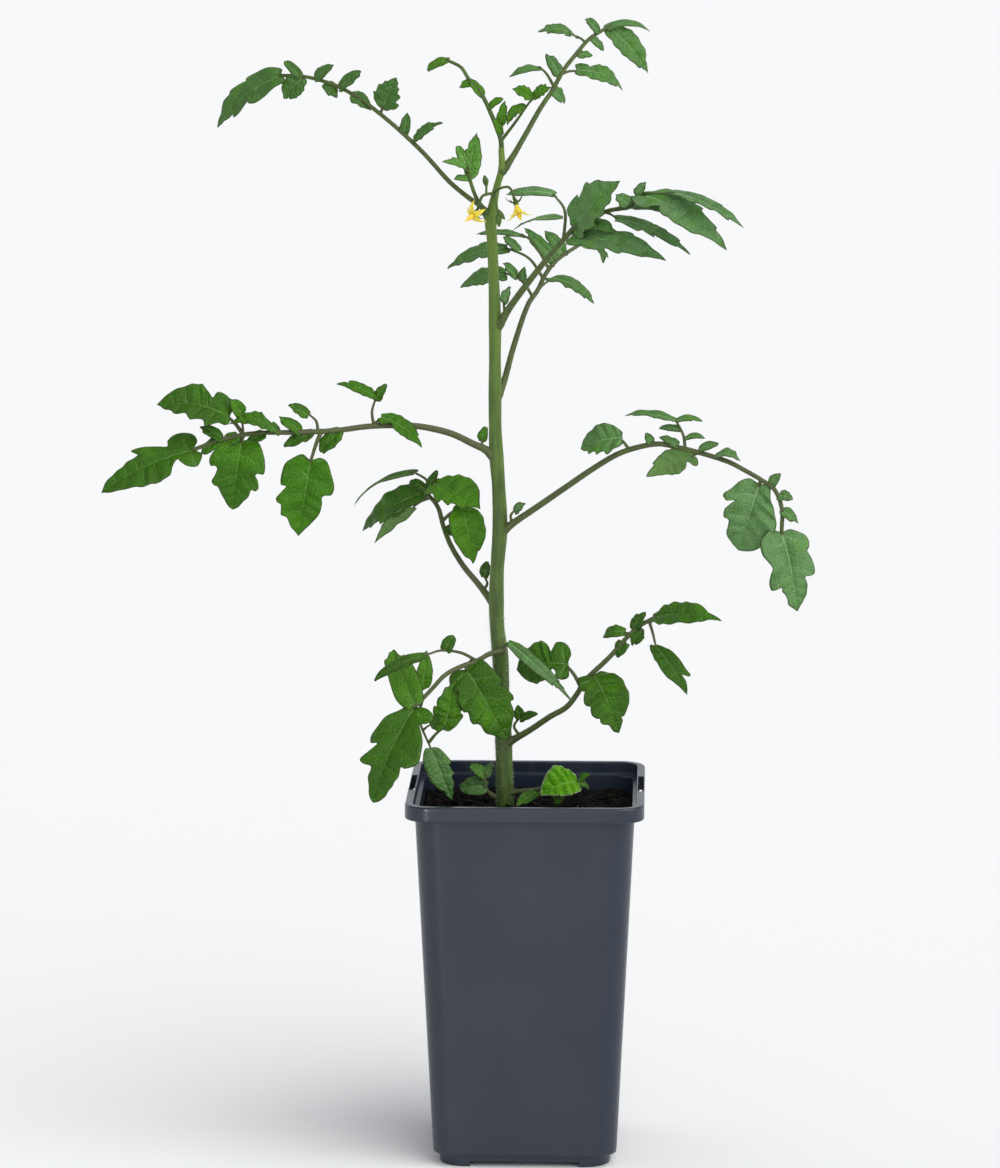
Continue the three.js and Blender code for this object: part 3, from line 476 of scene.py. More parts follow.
pot = {
    "floorThick": 1.5,        # mm
    "floorLift": 3.0,         # underside channels are this high
    "channel": 60.0,          # width of the two crossing channels under the pot
    "pad": 16.0,              # radius of the pad in the middle of the underside
    "drainRadius": 4.0,
    "drainRing": 32.0,
    "drains": 8,
    "drainCut": (-2, 12),     # heights that a drain hole's cutter spans
    "slot": (3.2, 40.0),      # the slot in each side of the rim, wide and long
    "slotPlace": (62.9, 2.0),     # its middle, out to the side and to the back
    "slotFloor": 198.9,
    "post": (2.1, 1.6),       # the small post at the back end of each slot, wide and long
    "postPlace": (62.7, 1.2),     # out to the side, and behind the slot's end
    "postHeights": (197.4, 204.0),
    "cornerSteps": 10,
    "support": 0.7,           # beside a rounded edge, flat faces start this far on
    # half width, height, corner radius and edge rounding, from the foot up the outside,
    # round the rim and its groove, and down the inside to the floor
    "profile": [
        (47.0, 0.0, 13.8, 1.0), (47.5, 7.0, 14.0, 0.5), (50.5, 7.0, 11.8, 1.0),
        (59.75, 197.0, 14.0, 0.5), (62.0, 197.0, 11.0, 0.3), (62.0, 203.2, 11.0, 0.5),
        (63.5, 203.2, 12.5, 0.3), (63.5, 197.0, 12.5, 0.5), (65.0, 197.0, 14.0, 0.6),
        (65.0, 205.2, 14.0, 1.3), (60.6, 205.2, 9.5, 0.6), (60.5, 198.5, 9.5, 0.6),
        (58.3, 198.5, 12.5, 0.5), (49.0, 8.6, 10.5, 1.0), (46.0, 8.6, 12.0, 0.6),
        (45.5, 4.5, 11.9, 1.0),
    ],
}


# Rounds each corner of a profile by an arc blended from its two edges, with a support point beyond it
# on either side so that the flat stretches shade flat.
def roundedProfile(profile, lead):
    table, rounding = np.array(profile)[:, :3], np.array(profile)[:, 3]
    around = np.vstack([lead[0], table, lead[1]])
    bend = np.linspace(0, 1, 5)[:, None]
    rows = []
    for i, size in enumerate(rounding):
        corner, before, after = around[i + 1], around[i] - around[i + 1], around[i + 2] - around[i + 1]
        far = [np.linalg.norm(before[:2]), np.linalg.norm(after[:2])]
        before, after = before / far[0], after / far[1]
        arc = corner + size * (before * (1 - bend) ** 2 + after * bend ** 2)
        support = [min(size + pot["support"], 0.45 * length) for length in far]
        rows += [corner + before * support[0], *arc, corner + after * support[1]]
    return np.array(rows)


# Rings of a square with rounded corners. Each ring has an arc at every corner and support points on the
# straight sides. Half width, height and corner radius come row by row.
def squareRings(halfWidth, height, corner, cornerSteps, sideSteps=0):
    inner = 0.06    # share of a side from its end to its support point
    quarter = np.linspace(0, np.pi / 2, cornerSteps + 1)
    lead = np.linspace(-1, 0, sideSteps + 2)[1:-1] if sideSteps else np.array([])
    arc = np.concatenate([np.full(len(lead) + 1, quarter[0]), quarter, [quarter[-1]]])
    push = np.concatenate([lead, [-inner], np.zeros(cornerSteps + 1), [inner]])
    angle = np.concatenate([arc + k * np.pi / 2 for k in range(4)])
    push = np.tile(push, 4)
    centre = np.repeat(np.arange(4) * np.pi / 2 + np.pi / 4, len(arc))
    inset = (halfWidth - corner)[:, None]
    x = inset * np.sqrt(2) * np.cos(centre) + corner[:, None] * np.cos(angle)
    y = inset * np.sqrt(2) * np.sin(centre) + corner[:, None] * np.sin(angle)
    x, y = x - np.sin(angle) * 2 * inset * push, y + np.cos(angle) * 2 * inset * push
    return np.stack([x, y, np.broadcast_to(height[:, None], x.shape)], -1)


# A closed body from rings, with a pole in the middle of its first and last ring.
def ringBody(rings, **marks):
    numbers = gridNumbers(*rings.shape[:2])
    poles = [rings[0].mean(axis=0), rings[-1].mean(axis=0)]
    faces = [gridFaces(numbers, True), poleFaces(numbers, numbers.size, numbers.size + 1)]
    return patch(np.vstack([rings.reshape(-1, 3), poles]), faces, **marks)


# An upright prism on a ring of places, between two heights.
def prism(ring, low, high):
    return ringBody(np.stack([np.column_stack([ring, np.full(len(ring), z)]) for z in (low, high)]))


def box(width, depth, low, high, x, y):
    corners = np.array([(1, -1), (1, 1), (-1, 1), (-1, -1)]) / 2
    return prism(corners * [width, depth] + [x, y], low, high)


def post(radius, low, high, x, y):
    angle = np.linspace(0, 2 * np.pi, 32, endpoint=False)
    return prism(np.column_stack([x + radius * np.cos(angle), y + radius * np.sin(angle)]), low, high)


# Cuts or joins a tool body with Blender's Boolean, applied to the mesh.
def combine(piece, tool, operation):
    rows, _ = faceRows([tool])
    mesh = bpy.data.meshes.new("toolMesh")
    mesh.from_pydata(tool["points"] * mm, [], rows)
    helper = bpy.data.objects.new("tool", mesh)
    bpy.context.scene.collection.objects.link(helper)
    change = piece.modifiers.new("combine", "BOOLEAN")
    change.operation, change.object, change.solver = operation, helper, "EXACT"
    graph = bpy.context.evaluated_depsgraph_get()
    made = bpy.data.meshes.new_from_object(piece.evaluated_get(graph))
    piece.modifiers.clear()
    piece.data = made
    bpy.data.objects.remove(helper)


# The hollow body carries its profile round a square with rounded corners. Then come the channels and the
# pad below, the drain holes, and the slots of the rim, each with its post.
def makePot():
    lift, channel = pot["floorLift"], pot["channel"]
    floorTop = [0.0, lift + pot["floorThick"], 0.0]
    middle = np.array([[20.0, 0.0, 4.0], [2.0, 0.0, 0.4]])    # rings that close the floor
    table = roundedProfile(pot["profile"], (np.zeros(3), np.array(floorTop)))
    table = np.vstack([middle[::-1], table, middle + floorTop])
    rings = squareRings(*table.T, pot["cornerSteps"])
    piece = makePiece("squarePot", [ringBody(rings)], [potPlastic], "pot_plastic", "pot")
    past, below, above = 140, -3, 211    # the tool bodies reach past the pot
    combine(piece, box(channel, past, below, lift, 0, 0), "DIFFERENCE")
    combine(piece, box(past, channel, below, lift, 0, 0), "DIFFERENCE")
    combine(piece, post(pot["pad"], 0, lift + 0.5, 0, 0), "UNION")
    for angle in np.arange(pot["drains"]) * 2 * np.pi / pot["drains"]:
        x, y = pot["drainRing"] * np.cos(angle), pot["drainRing"] * np.sin(angle)
        combine(piece, post(pot["drainRadius"], *pot["drainCut"], x, y), "DIFFERENCE")
    across, back = pot["slotPlace"]
    postAcross, postBack = pot["postPlace"]
    rear = back + pot["slot"][1] / 2 + postBack
    for side in (-1, 1):
        slot = box(*pot["slot"], pot["slotFloor"], above, side * across, back)
        combine(piece, slot, "DIFFERENCE")
        combine(piece, box(*pot["post"], *pot["postHeights"], side * postAcross, rear), "UNION")
    piece.data.polygons.foreach_set("use_smooth", [True] * len(piece.data.polygons))
    piece.data.set_sharp_from_angle(angle=math.radians(40))


makePot()
print("stage: pot made")


# Compost

compost = {
    "top": 190.0,         # mm, mean height of the surface
    "half": 57.3,         # half width at the top, just clear of the wall
    "corner": 12.0,
    "walls": [            # half width, height and corner radius, from the pot's floor up
        (45.0, 5.0, 11.6), (45.1, 8.0, 11.6), (48.5, 9.6, 10.2),
    ],
    "edgeDrop": 6.0,      # mm, the walls end this far below the surface
    "rings": 70,
    "sideSteps": 40,
    "cornerSteps": 10,
    "lumps": [            # height, size in mm and seed of the two finer layers
        (0.9, 3.1, 11), (0.6, 1.4, 12),
    ],
    "crumbs": 1500,
    "crumbSizes": (2.2, 0.32),            # shape and scale of the spread of their radii
    "leastCrumb": 0.35,                   # mm
    "crumbStretch": (1.0, 0.9, 0.75),
    "barkStretch": (2.2, 0.7, 0.4),
    "crumbLift": 0.15,                    # mm
    "barkShare": 0.16,
    "perliteShare": 0.008,
    "bare": 3.5,                          # mm beside the wall without crumbs
    "cornerReach": 72,                    # and how far crumbs lie from the middle
}


# The surface lies in low mounds with a heap round the stem, and two finer layers of lumps roughen it.
def compostHeight(x, y):
    mounds = 1.5 * np.sin(0.19 * x + 1) * np.cos(0.16 * y) + np.sin(0.41 * x + 0.27 * y)
    ripples = 0.7 * np.cos(0.83 * y - 0.61 * x) + 0.5 * np.sin(1.1 * x + 0.4)
    heap = 3 * np.exp(-((x + 12) ** 2 + y ** 2) / 500)
    rough = sum(height * lumps(x, y, size, seed) for height, size, seed in compost["lumps"])
    return compost["top"] + mounds + ripples + heap + rough


# Crumbs, bark flakes and perlite: small lumps of three rings and two poles, stretched, turned and sunk in
# at random.
def looseBits(count, seed):
    draw = np.random.default_rng(seed)
    level = np.array([-0.62, 0.1, 0.7])[:, None]
    turn = np.arange(6)[None] * np.pi / 3
    girth = np.sqrt(1 - level ** 2)
    lump = ringBody(np.stack([girth * np.cos(turn), girth * np.sin(turn), level + 0 * turn], -1))
    corners = len(lump["points"])
    shape = lump["points"][None] * draw.uniform(0.75, 1.2, (count, corners, 1))
    kind = draw.uniform(0, 1, count)
    bark = kind < compost["barkShare"]
    perlite = kind > 1 - compost["perliteShare"]
    size = draw.gamma(*compost["crumbSizes"], count)[:, None, None] + compost["leastCrumb"]
    stretch = np.where(bark[:, None], compost["barkStretch"], compost["crumbStretch"])[:, None]
    shape = shape * size * stretch
    turn = draw.uniform(0, 2 * np.pi, count)[:, None]
    x = shape[..., 0] * np.cos(turn) - shape[..., 1] * np.sin(turn)
    y = shape[..., 0] * np.sin(turn) + shape[..., 1] * np.cos(turn)
    reach = compost["half"] - compost["bare"]
    u, v = draw.uniform(-reach, reach, (2, count))
    pull = np.minimum(1, compost["cornerReach"] / np.hypot(u, v))
    u, v = u * pull, v * pull
    z = shape[..., 2] + (compostHeight(u, v) + compost["crumbLift"])[:, None]
    points = np.stack([x + u[:, None], y + v[:, None], z], -1)
    shift = corners * np.arange(count)[:, None, None]
    faces = [(rows[None] + shift).reshape(-1, rows.shape[1]) for rows in lump["faces"]]
    barkMark, perliteMark = np.repeat(bark, corners) * 1.0, np.repeat(perlite, corners) * 1.0
    return patch(points.reshape(-1, 3), faces, bark=barkMark, perlite=perliteMark)


# The block of compost: walls up along the pot, then rings inwards over the rough surface.
def makeCompost():
    half, corner, steps = compost["half"], compost["corner"], (compost["cornerSteps"], compost["sideSteps"])
    table = np.array([*compost["walls"], (half, compost["top"] - compost["edgeDrop"], corner)])
    walls = squareRings(*table.T, *steps)
    share = np.linspace(0.015, 1, compost["rings"])
    top = squareRings(share * half, share * 0, share * corner, *steps)
    top[..., 2] = compostHeight(top[..., 0], top[..., 1])
    body = ringBody(np.vstack([walls, top[::-1]]))
    bits = looseBits(compost["crumbs"], 21)
    makePiece("compost", [body, bits], [compostCrumbs], "compost", "soil")


makeCompost()
print("stage: compost made")


# Plant layout: the same places as the solids, in mm

stemPath = [    # points and radius, from the foot inside the compost up
    (-12, 0, 150, 4.9), (-12.3, 0, 197, 4.9), (-12.5, 0, 212, 4.4), (-13, 0.5, 228, 4.7),
    (-14, 1, 252, 4.2), (-15, 1, 278, 4.5), (-16.5, 0.5, 292, 3.9), (-17, 0, 308, 4.2),
    (-16.5, 0, 326, 3.7), (-15, -0.5, 348, 4.2), (-15.8, 0, 372, 3.6), (-17, 0.5, 388, 4),
    (-17.6, 0.5, 404, 3.4), (-17.7, 0, 422, 3.6), (-17.7, -0.5, 442, 3.2), (-17.7, 0, 461, 3.5),
    (-18.3, 0, 484, 2.9), (-19.3, 0.5, 506, 2.8), (-20, 0, 517, 3.3), (-18.2, 0, 528, 2.2),
    (-16.4, 0, 536, 1.8), (-14, 0, 545, 1.9), (-14.2, 0, 556, 1.5),
]


# One row of a leaf's plan: a leaflet from its base to its tip, with its width in mm and what else differs
# from the usual. The words say how its edge is cut.
def lobed(base, tip, width, **more):
    return dict(edge="lobed", base=base, tip=tip, width=width, **more)


def toothed(base, tip, width, **more):
    return dict(edge="toothed", base=base, tip=tip, width=width, **more)


def plain(base, tip, width, **more):
    return dict(edge="plain", base=base, tip=tip, width=width, **more)


def small(base, tip, width=6, arch=1, **more):
    return dict(edge="small", base=base, tip=tip, width=width, arch=arch, **more)


# A plan's places are (x, z) or (x, y, z). Root is where its stem stands, lean is how far the leaf reaches
# back or forward and rise how far it is lifted for each mm to the side. Radii are the rachis's at its
# foot and end. Sides names the outlines of a leaflet's right and left half.
lowRight = dict(
    node="leaf_low_right", tan=0.6, tint=(0.0, 0.35), root=(-13, 0), lean=-0.5, rise=0.025,
    radii=(1.8, 1.15),
    rachis=[
        (-13, 227), (1, 236), (13, 245), (22, 251), (28, 259), (32, 266), (46, 281), (55, 292),
        (62, 299), (70, 304),
    ],
    branches=[((-4, 233), (-7, 238), (-4, 243))],
    leaflets=[
        lobed((69, 304), (106, 305), 17, face=(5, 50), arch=4, sides=("oval", "late")),
        toothed((70, 289), (88, 263), 13, stalk=(67, 302), face=(20, 25), sides=("oval", "forked")),
        plain((64, 297), (57, 288), 9, stalk=(62, 299), arch=1),
        small((54, 295), (42, 292), 8.5, arch=3, stalk=(57, 294)),
        small((58, 297), (65, 307), 7.5, stalk=(57, 294)),
        plain((54, 290), (49, 281), 8, stalk=(55, 292), arch=1),
        lobed((37, 270), (51, 239), 25, stalk=(32, 266), face=(10, 25), arch=5, sides=("wavy", "late")),
        lobed((23, 275), (-6, 270), 25, stalk=(30, 263), face=(0, 32), arch=5,
            sides=("cleft", "waisted")),
        small((-4, 242), (6, 246)), small((-4, 242), (-5, 250)),
    ],
)

lowLeft = dict(
    node="leaf_low_left", tan=0.8, tint=(0.0, 0.35), root=(-11, -6), lean=0.7, rise=0.014,
    radii=(1.45, 1.1),
    rachis=[
        (-15, 0, 279), (-13, -7, 281), (-20, -11, 280), (-27, 277), (-35, 275), (-44, 271), (-50, 265),
        (-60, 255),
    ],
    branches=[
        [(-56, -33, 259), (-58, -28, 246), (-52, -27, 230)],
        [(-27, -17, 277), (-35, -24, 282.5), (-46, -34, 285.5), (-54, -44, 284.5)],
        [(-14, -6, 282), (-10, -9, 286)],
    ],
    leaflets=[
        lobed((-60, 255), (-82, 205), 36, face=(-20, 25), arch=6, sides=("twoPointed", "broadEnd")),
        plain((-60, 255), (-73, -24, 283), 16, face=(0, 20), arch=2, sides=("round", "round"),
            youth=0.36),
        plain((-57, -30, 262), (-54, -26, 284), 10, stalk=(-56, 260), face=(20, 15), arch=2, youth=0.36),
        plain((-53, -43, 284.5), (-81, -50, 271), 9, face=(0, 60)),
        small((-44, -32, 285), (-39, -30, 293), 7.5),
        lobed((-33, -20, 273), (-10, -24, 234), 29, stalk=(-33, 275), face=(5, 25), arch=4,
            sides=("wavy", "threeLobes")),
        toothed((-45, -27, 240), (-38, -25, 268), 17, stalk=(-53, -27, 233), face=(10, 20), arch=2,
            sides=("toothy", "wavy"), youth=0.25),
        small((-52, -30, 243), (-45, -33, 249), 7.5, stalk=(-56, -28, 240)),
        toothed((-52, -27, 230), (-40, -31, 202), 15, face=(0, 20), sides=("late", "toothy"), bluish=0.6),
        plain((-10, -9, 286), (25.5, -36, 259), 8, arch=4, face=(0, 30), bluish=0.9),
    ],
)

midLeft = dict(
    node="leaf_mid_left", tan=0.8, tint=(0.0, 0.35), root=(-17, 0), lean=-0.8, rise=-0.05,
    radii=(1.8, 1.15),
    rachis=[
        (-17, 305), (-21, 309), (-27, 316), (-36, 326), (-43, 337), (-47, 347), (-50, 357), (-57, 365),
    ],
    branches=[
        [(-55, 364), (-56, 371), (-65, 376)],
        [(-24, 313), (-22, 317), (-24, 321)],
    ],
    leaflets=[
        lobed((-52, 370), (-26, 358), 21, stalk=(-51, 359), face=(0, 35), arch=4, sides=("wavy", "full"),
            youth=0.35),
        lobed((-37, 359), (-30, 327), 20, stalk=(-47, 350), face=(15, 20), arch=4, sides=("oval", "late"),
            youth=0.4),
        lobed((-57, 365), (-94, 340), 19, face=(-15, 38), arch=5, sides=("oval", "toothy")),
        plain((-64, 30, 357), (-86, 42, 336), 9, stalk=(-54, 362), face=(180, 40)),
        small((-64, 375), (-99, 354), 7.5, arch=5, face=(0, 60)), small((-56, 366), (-50, 377)),
        small((-57, 366), (-66, 371)), small((-46, 346), (-38, 342), 7.5), small((-24, 320), (-22, 329)),
    ],
)

midRight = dict(
    node="leaf_mid_right", tan=0.75, bluish=0.65, root=(-15, 0), lean=-0.3, rise=0.02, radii=(1.85, 1.1),
    rachis=[
        (-15, 345), (-9, 350), (5, 360), (23, 373), (37, 383), (50, 391), (61, 395), (72, 397), (84, 395),
        (97, 392), (110, 388), (118, 384), (127, 379), (134, 374), (138, 364), (138, 350),
    ],
    branches=[
        [(86, 395), (85, 402), (81, 410)],
        [(-8, 351), (-9, 355), (-7, 358)],
    ],
    leaflets=[
        toothed((52, 400), (29, 393), 18, stalk=(56, 393), face=(0, 30), arch=4,
            sides=("oval", "toothy")),
        toothed((91, 391), (65, 379), 16, stalk=(94, 393), face=(180, 20), youth=0.4),
        small((83, 396), (72, 401)),
        plain((81, 410), (53, 412), 7, face=(0, 62), arch=3),
        small((81, 410), (95, 410), arch=2, face=(0, 55)), small((83, 405), (72, 406), 5, face=(0, 45)),
        small((85, 400), (97, 401), 5, arch=2, face=(0, 50)),
        small((93, 394), (104, 398), 5, arch=2, face=(0, 35)),
        plain((102, 391), (116, 389), 9, face=(0, 60), arch=4),
        lobed((126, 377), (115, 340), 31, stalk=(127, 379), face=(0, 20), arch=4,
            sides=("jagged", "full"), bluish=1.0),
        lobed((138, 351), (147, 308), 30, face=(15, 20), arch=4, sides=("lowSpur", "stepped"),
            bluish=1.0),
        small((132, 376), (137, 383)), small((136, 371), (144, 369), 7.5),
        small((138, 363), (147, 356), 7.5), small((68, 396), (65, 403), 5), small((-7, 357), (-1, 362)),
    ],
)

upperLeft = dict(
    node="leaf_upper_left", tan=0.85, root=(-17, 0), lean=0.2, rise=0.014, radii=(1.95, 1.1),
    rachis=[
        (-17, 386), (-22, 391), (-30, 395), (-40, 400), (-50, 403), (-62, 405), (-85, 405), (-102, 403),
        (-122, 402), (-142, 402), (-153, 401), (-169, 397), (-180, 393),
    ],
    branches=[
        [(-83, 405), (-84, 413), (-82, 420)],
        [(-113, 402), (-114, 408), (-118, 412)],
        [(-24, 392), (-25, 397)],
    ],
    leaflets=[
        lobed((-179, 393), (-229, 370), 27, face=(-5, 40), arch=6, sides=("spurred", "waisted")),
        lobed((-160, 411), (-199, 418), 25, stalk=(-153, 401), face=(0, 42), arch=6,
            sides=("cleft", "toothy")),
        lobed((-154, 398), (-159, 360), 31, stalk=(-153, 401), face=(0, 15), arch=4,
            sides=("twoLobes", "twoLobes")),
        lobed((-117, 387), (-124, 345), 30, stalk=(-111, 403), face=(5, 20), arch=4,
            sides=("threeLobes", "oneLobe")),
        toothed((-134, 402), (-161, 407), 14, face=(0, 60), arch=6),
        small((-156, 401), (-167, 392), 8.5), small((-141, 402), (-152, 395), 7.5),
        plain((-153, 411), (-160, 421), 8, stalk=(-153, 401), arch=1),
        small((-164, 399), (-176, 406), 7.5), small((-166, 398), (-176, 391), 7.5),
        plain((-116, 402), (-131, 394), 8, arch=1),
        plain((-101, 403), (-112, 391), 10, arch=1),
        small((-122, 402), (-134, 411), 7.5), small((-118, 411), (-129, 417), 7.5),
        plain((-80, 420), (-102, 429), 8, face=(0, 50), arch=2),
        small((-82, 419), (-76, 428)),
        toothed((-79, 410), (-57, 393), 11, stalk=(-85, 405), face=(0, 45), arch=5),
        small((-25, 396), (-22, 404)),
    ],
)

upperBack = dict(
    node="leaf_upper_back", tan=0.65, bluish=0.6, root=(-17, 0), lean=1.2, radii=(1.85, 1),
    rachis=[(-17, 419), (-13, 428), (-8, 446), (0, 469), (5, 476), (9, 484), (15, 491), (27, 498)],
    branches=[
        [(2.5, 472.5), (-4, 21, 482), (-13, 22, 486)],
        [(8, 482), (0, 31, 493), (-13, 31, 499)],
        [(11, 487), (2, 32, 502), (-4, 33, 506)],
    ],
    leaflets=[
        lobed((27, 498), (40, 78, 486), 18, face=(20, 60), arch=5),
        plain((12, 482), (36, 32, 468), 10, stalk=(5, 476), face=(0, 60), arch=4,
            sides=("wavy", "toothy")),
        toothed((-12, 22, 485), (-38, 28, 477), 13, face=(-10, 50), arch=3),
        small((-3.4, 21, 481.2), (-2, 16, 490)), small((-6, 21.2, 483), (-14, 17, 492)),
        toothed((-12, 31, 499), (-45, 33, 487), 12, face=(0, 50), arch=4, sides=("toothy", "wavy")),
        small((-5, 31, 497), (-14, 27, 505)), small((-3, 33, 505), (-29, 36, 506), arch=2, face=(0, 60)),
        plain((14, 490), (-3, 40, 509), 9, face=(0, 40), arch=2),
        plain((19, 493), (8, 55, 506), 10, face=(0, 60), arch=2),
    ],
)

upperRight = dict(
    node="leaf_upper_right", tan=0.4, bluish=1.0, root=(-17, 0), lean=-0.7, rise=0.03, radii=(2, 1.05),
    rachis=[
        (-17, 458), (-13, 464), (-10, 469), (0, 483), (10, 496), (20, 508), (26, 515), (33, 520),
        (42, 524), (57, 528),
    ],
    branches=[
        [(56, 527.6), (60, 534), (71, 535), (79, 536)],
        [(20, 508), (21, 522), (14, 4, 530)],
        [(-12, 466), (-13, 473)],
    ],
    leaflets=[
        lobed((26, 515), (50, 541), 24, face=(-10, 35), arch=3, sides=("wavy", "threeLobes"),
            bluish=0.75),
        plain((29, 517), (48, 513), 10, face=(0, 50), arch=3, sides=("wavy", "round"), bluish=0.6),
        lobed((25, 510), (75, 500), 16, face=(0, 40), arch=5, sides=("wavy", "threeLobes")),
        plain((48, 521), (88, 504), 10, stalk=(42, 524), face=(0, 55), arch=4, sides=("toothy", "wavy")),
        plain((52, 526.6), (90, 521), 7, face=(0, 60), arch=4, sides=("wavy", "late")),
        lobed((62, 534), (107, 507), 20, face=(15, 40), arch=7, sides=("cleft", "toothy")),
        plain((78, 536), (116, 519), 9, face=(10, 55), arch=4, sides=("toothy", "wavy")),
        small((59, 533), (64, 541)), small((56, 527.4), (48, 534), 8.5),
        small((15, 4, 530), (-12, 5, 530.4), arch=3, face=(0, 40)),
        plain((19.5, 520), (-9, 12, 510), 8, face=(0, 60), arch=3, youth=0.4),
        small((-13, 472), (-9, 481)),
    ],
)

topLeft = dict(
    node="leaf_top_left", tan=0.4, bluish=0.35, tint=(0.0, 0.4), root=(-20, 0), lean=-0.45, rise=-0.032,
    radii=(1.4, 0.95),
    rachis=[
        (-20, 515), (-25, 524), (-32, 529), (-42, 537), (-57, 553), (-70, 565), (-81, 574), (-92, 582),
        (-105, 589), (-122, 594), (-138, 595),
    ],
    leaflets=[
        lobed((-137, 595), (-174, 566), 19, face=(-10, 40), arch=6),
        toothed((-124, 594), (-136, 582), 14, face=(0, 30), arch=2),
        small((-126, 594), (-135, 603)), small((-118, 593), (-107, 601), 8.5),
        plain((-112, 591), (-105, 583), 8, arch=1),
        plain((-104, 588), (-92, 597), 8, arch=1),
        plain((-97, 585), (-86, 576), 9, arch=1),
        toothed((-80, 577), (-72, 594), 17, stalk=(-81, 574), face=(0, 35), arch=1),
        small((-68, 563), (-66, 575)),
        plain((-63, 559), (-47, 570), 8, face=(0, 50), arch=2),
    ],
)

curled = dict(
    node="leaf_curled", slot="young_leaf", tan=0.3, youth=0.4, bluish=0.7, root=(-20, 0), lean=0.9,
    radii=(1.2, 0.9),
    rachis=[(-19, 519), (-26, 527), (-30, 537), (-32, 547)],
    leaflets=[
        toothed((-31, 541), (-27, 565), 11, face=(20, 10), arch=-3, fold=32, sides=("oval", "toothy")),
        plain((-32, 545), (-45, 551), 7, face=(-20, 40), arch=2, fold=25),
        small((-32, 546), (-38, -7, 558)), small((-31, 540), (-39, 541), 5),
    ],
)

topRight = dict(
    node="leaf_top_right", tan=0.4, bluish=0.55, root=(-14, 0), lean=0.6, rise=-0.037, radii=(1.6, 0.95),
    rachis=[
        (-14, 543), (-9, 550), (-2, 562), (7, 578), (13, 587), (19, 598), (26, 607), (33, 615),
        (44, 622),
    ],
    branches=[((14, 589), (10, 596), (6, 600))],
    leaflets=[
        plain((25, 617), (5, 619), 10, stalk=(31, 613), face=(0, 50), arch=3, sides=("toothy", "wavy")),
        small((38, 618.5), (31, 626)), small((42, 621), (66, 619), 7.5, arch=4, face=(0, 60)),
        toothed((43, 621), (65, 596), 15, face=(10, 35), arch=4),
        small((34, 615), (41, 609)),
        toothed((26, 598), (51, 587), 13, stalk=(18, 596), face=(5, 45), arch=5),
        small((26, 606), (35, 606)), small((7, 599), (-10, 595), 7.5, arch=2, face=(0, 60)),
        small((17, 595), (10, 607), 7.5),
        plain((13, 588), (20, 580), 8, arch=1),
    ],
)

shootTip = dict(
    node="shoot_tip", slot="young_leaf", tan=0.1, flare=0.0, youth=0.35, root=(-14, 0), lean=-0.3,
    radii=(1.4, 0.85),
    rachis=[
        (-14, 0, 556.4), (-14.5, 0, 561), (-17, 568), (-20, 575), (-25, 585), (-32, 593), (-36, 599),
        (-44, 603),
    ],
    branches=[
        [(-14.3, 0, 560), (-12, 563), (-6, 571), (1, 581), (5, 585)],
        [(-14.5, 0, 561), (-14.5, -1, 570)],
    ],
    leaflets=[
        small((-43, 603), (-55, 597), arch=2), small((-24, 584), (-33, 594)),
        small((-30, 591), (-37, 589)), small((-21, 578), (-13, 583), 5),
        plain((4, 584), (13, 590), 8, fold=30, arch=1, sides=("toothy", "wavy")),
        toothed((-1, 579), (-11, -6, 569), 8, face=(-10, 50), fold=25, arch=3),
        plain((3, 583), (-8, -6, 589), 8, fold=30, arch=1, sides=("wavy", "toothy")),
        small((-14.5, -1, 569), (-12, -3, 582)), small((-14.4, 0, 563), (-18, -5, 573), 5),
    ],
)

baseLeft = dict(
    node="base_shoot_left", bluish=0.5, root=(-12, 0), lean=0.3, radii=(1.3, 0.85),
    rachis=[(-12, 197), (-19, 199), (-23, 204), (-23, 211)],
    leaflets=[
        plain((-23, 210), (-32, 216), 8, arch=2, sides=("round", "oval")),
        small((-23, 209), (-19, 9, 216)),
        plain((-22, 204), (-37, -2, 203), 11, face=(0, 25), arch=2, sides=("round", "round")),
    ],
)

baseRight = dict(
    node="base_shoot_right", slot="young_leaf", root=(-12, 0), lean=-0.3, radii=(1.35, 0.95),
    rachis=[(-12, 199), (-5, 201), (10, 204), (24, 208), (30, 210)],
    leaflets=[
        toothed((28, 209.5), (8, -20, 203), 19, face=(0, 28), arch=5, fold=42, sides=("full", "oval"),
            youth=1.0, paleRim=1.0),
        small((29, 210), (35, 214), 5), small((28, 209), (35, -3, 203), 5),
        small((20, 206), (17, -20, 198), 7.5, arch=2),
        plain((6, 202.5), (-5, -20, 197), 8, arch=1, sides=("round", "late")),
    ],
)


# Leaflets

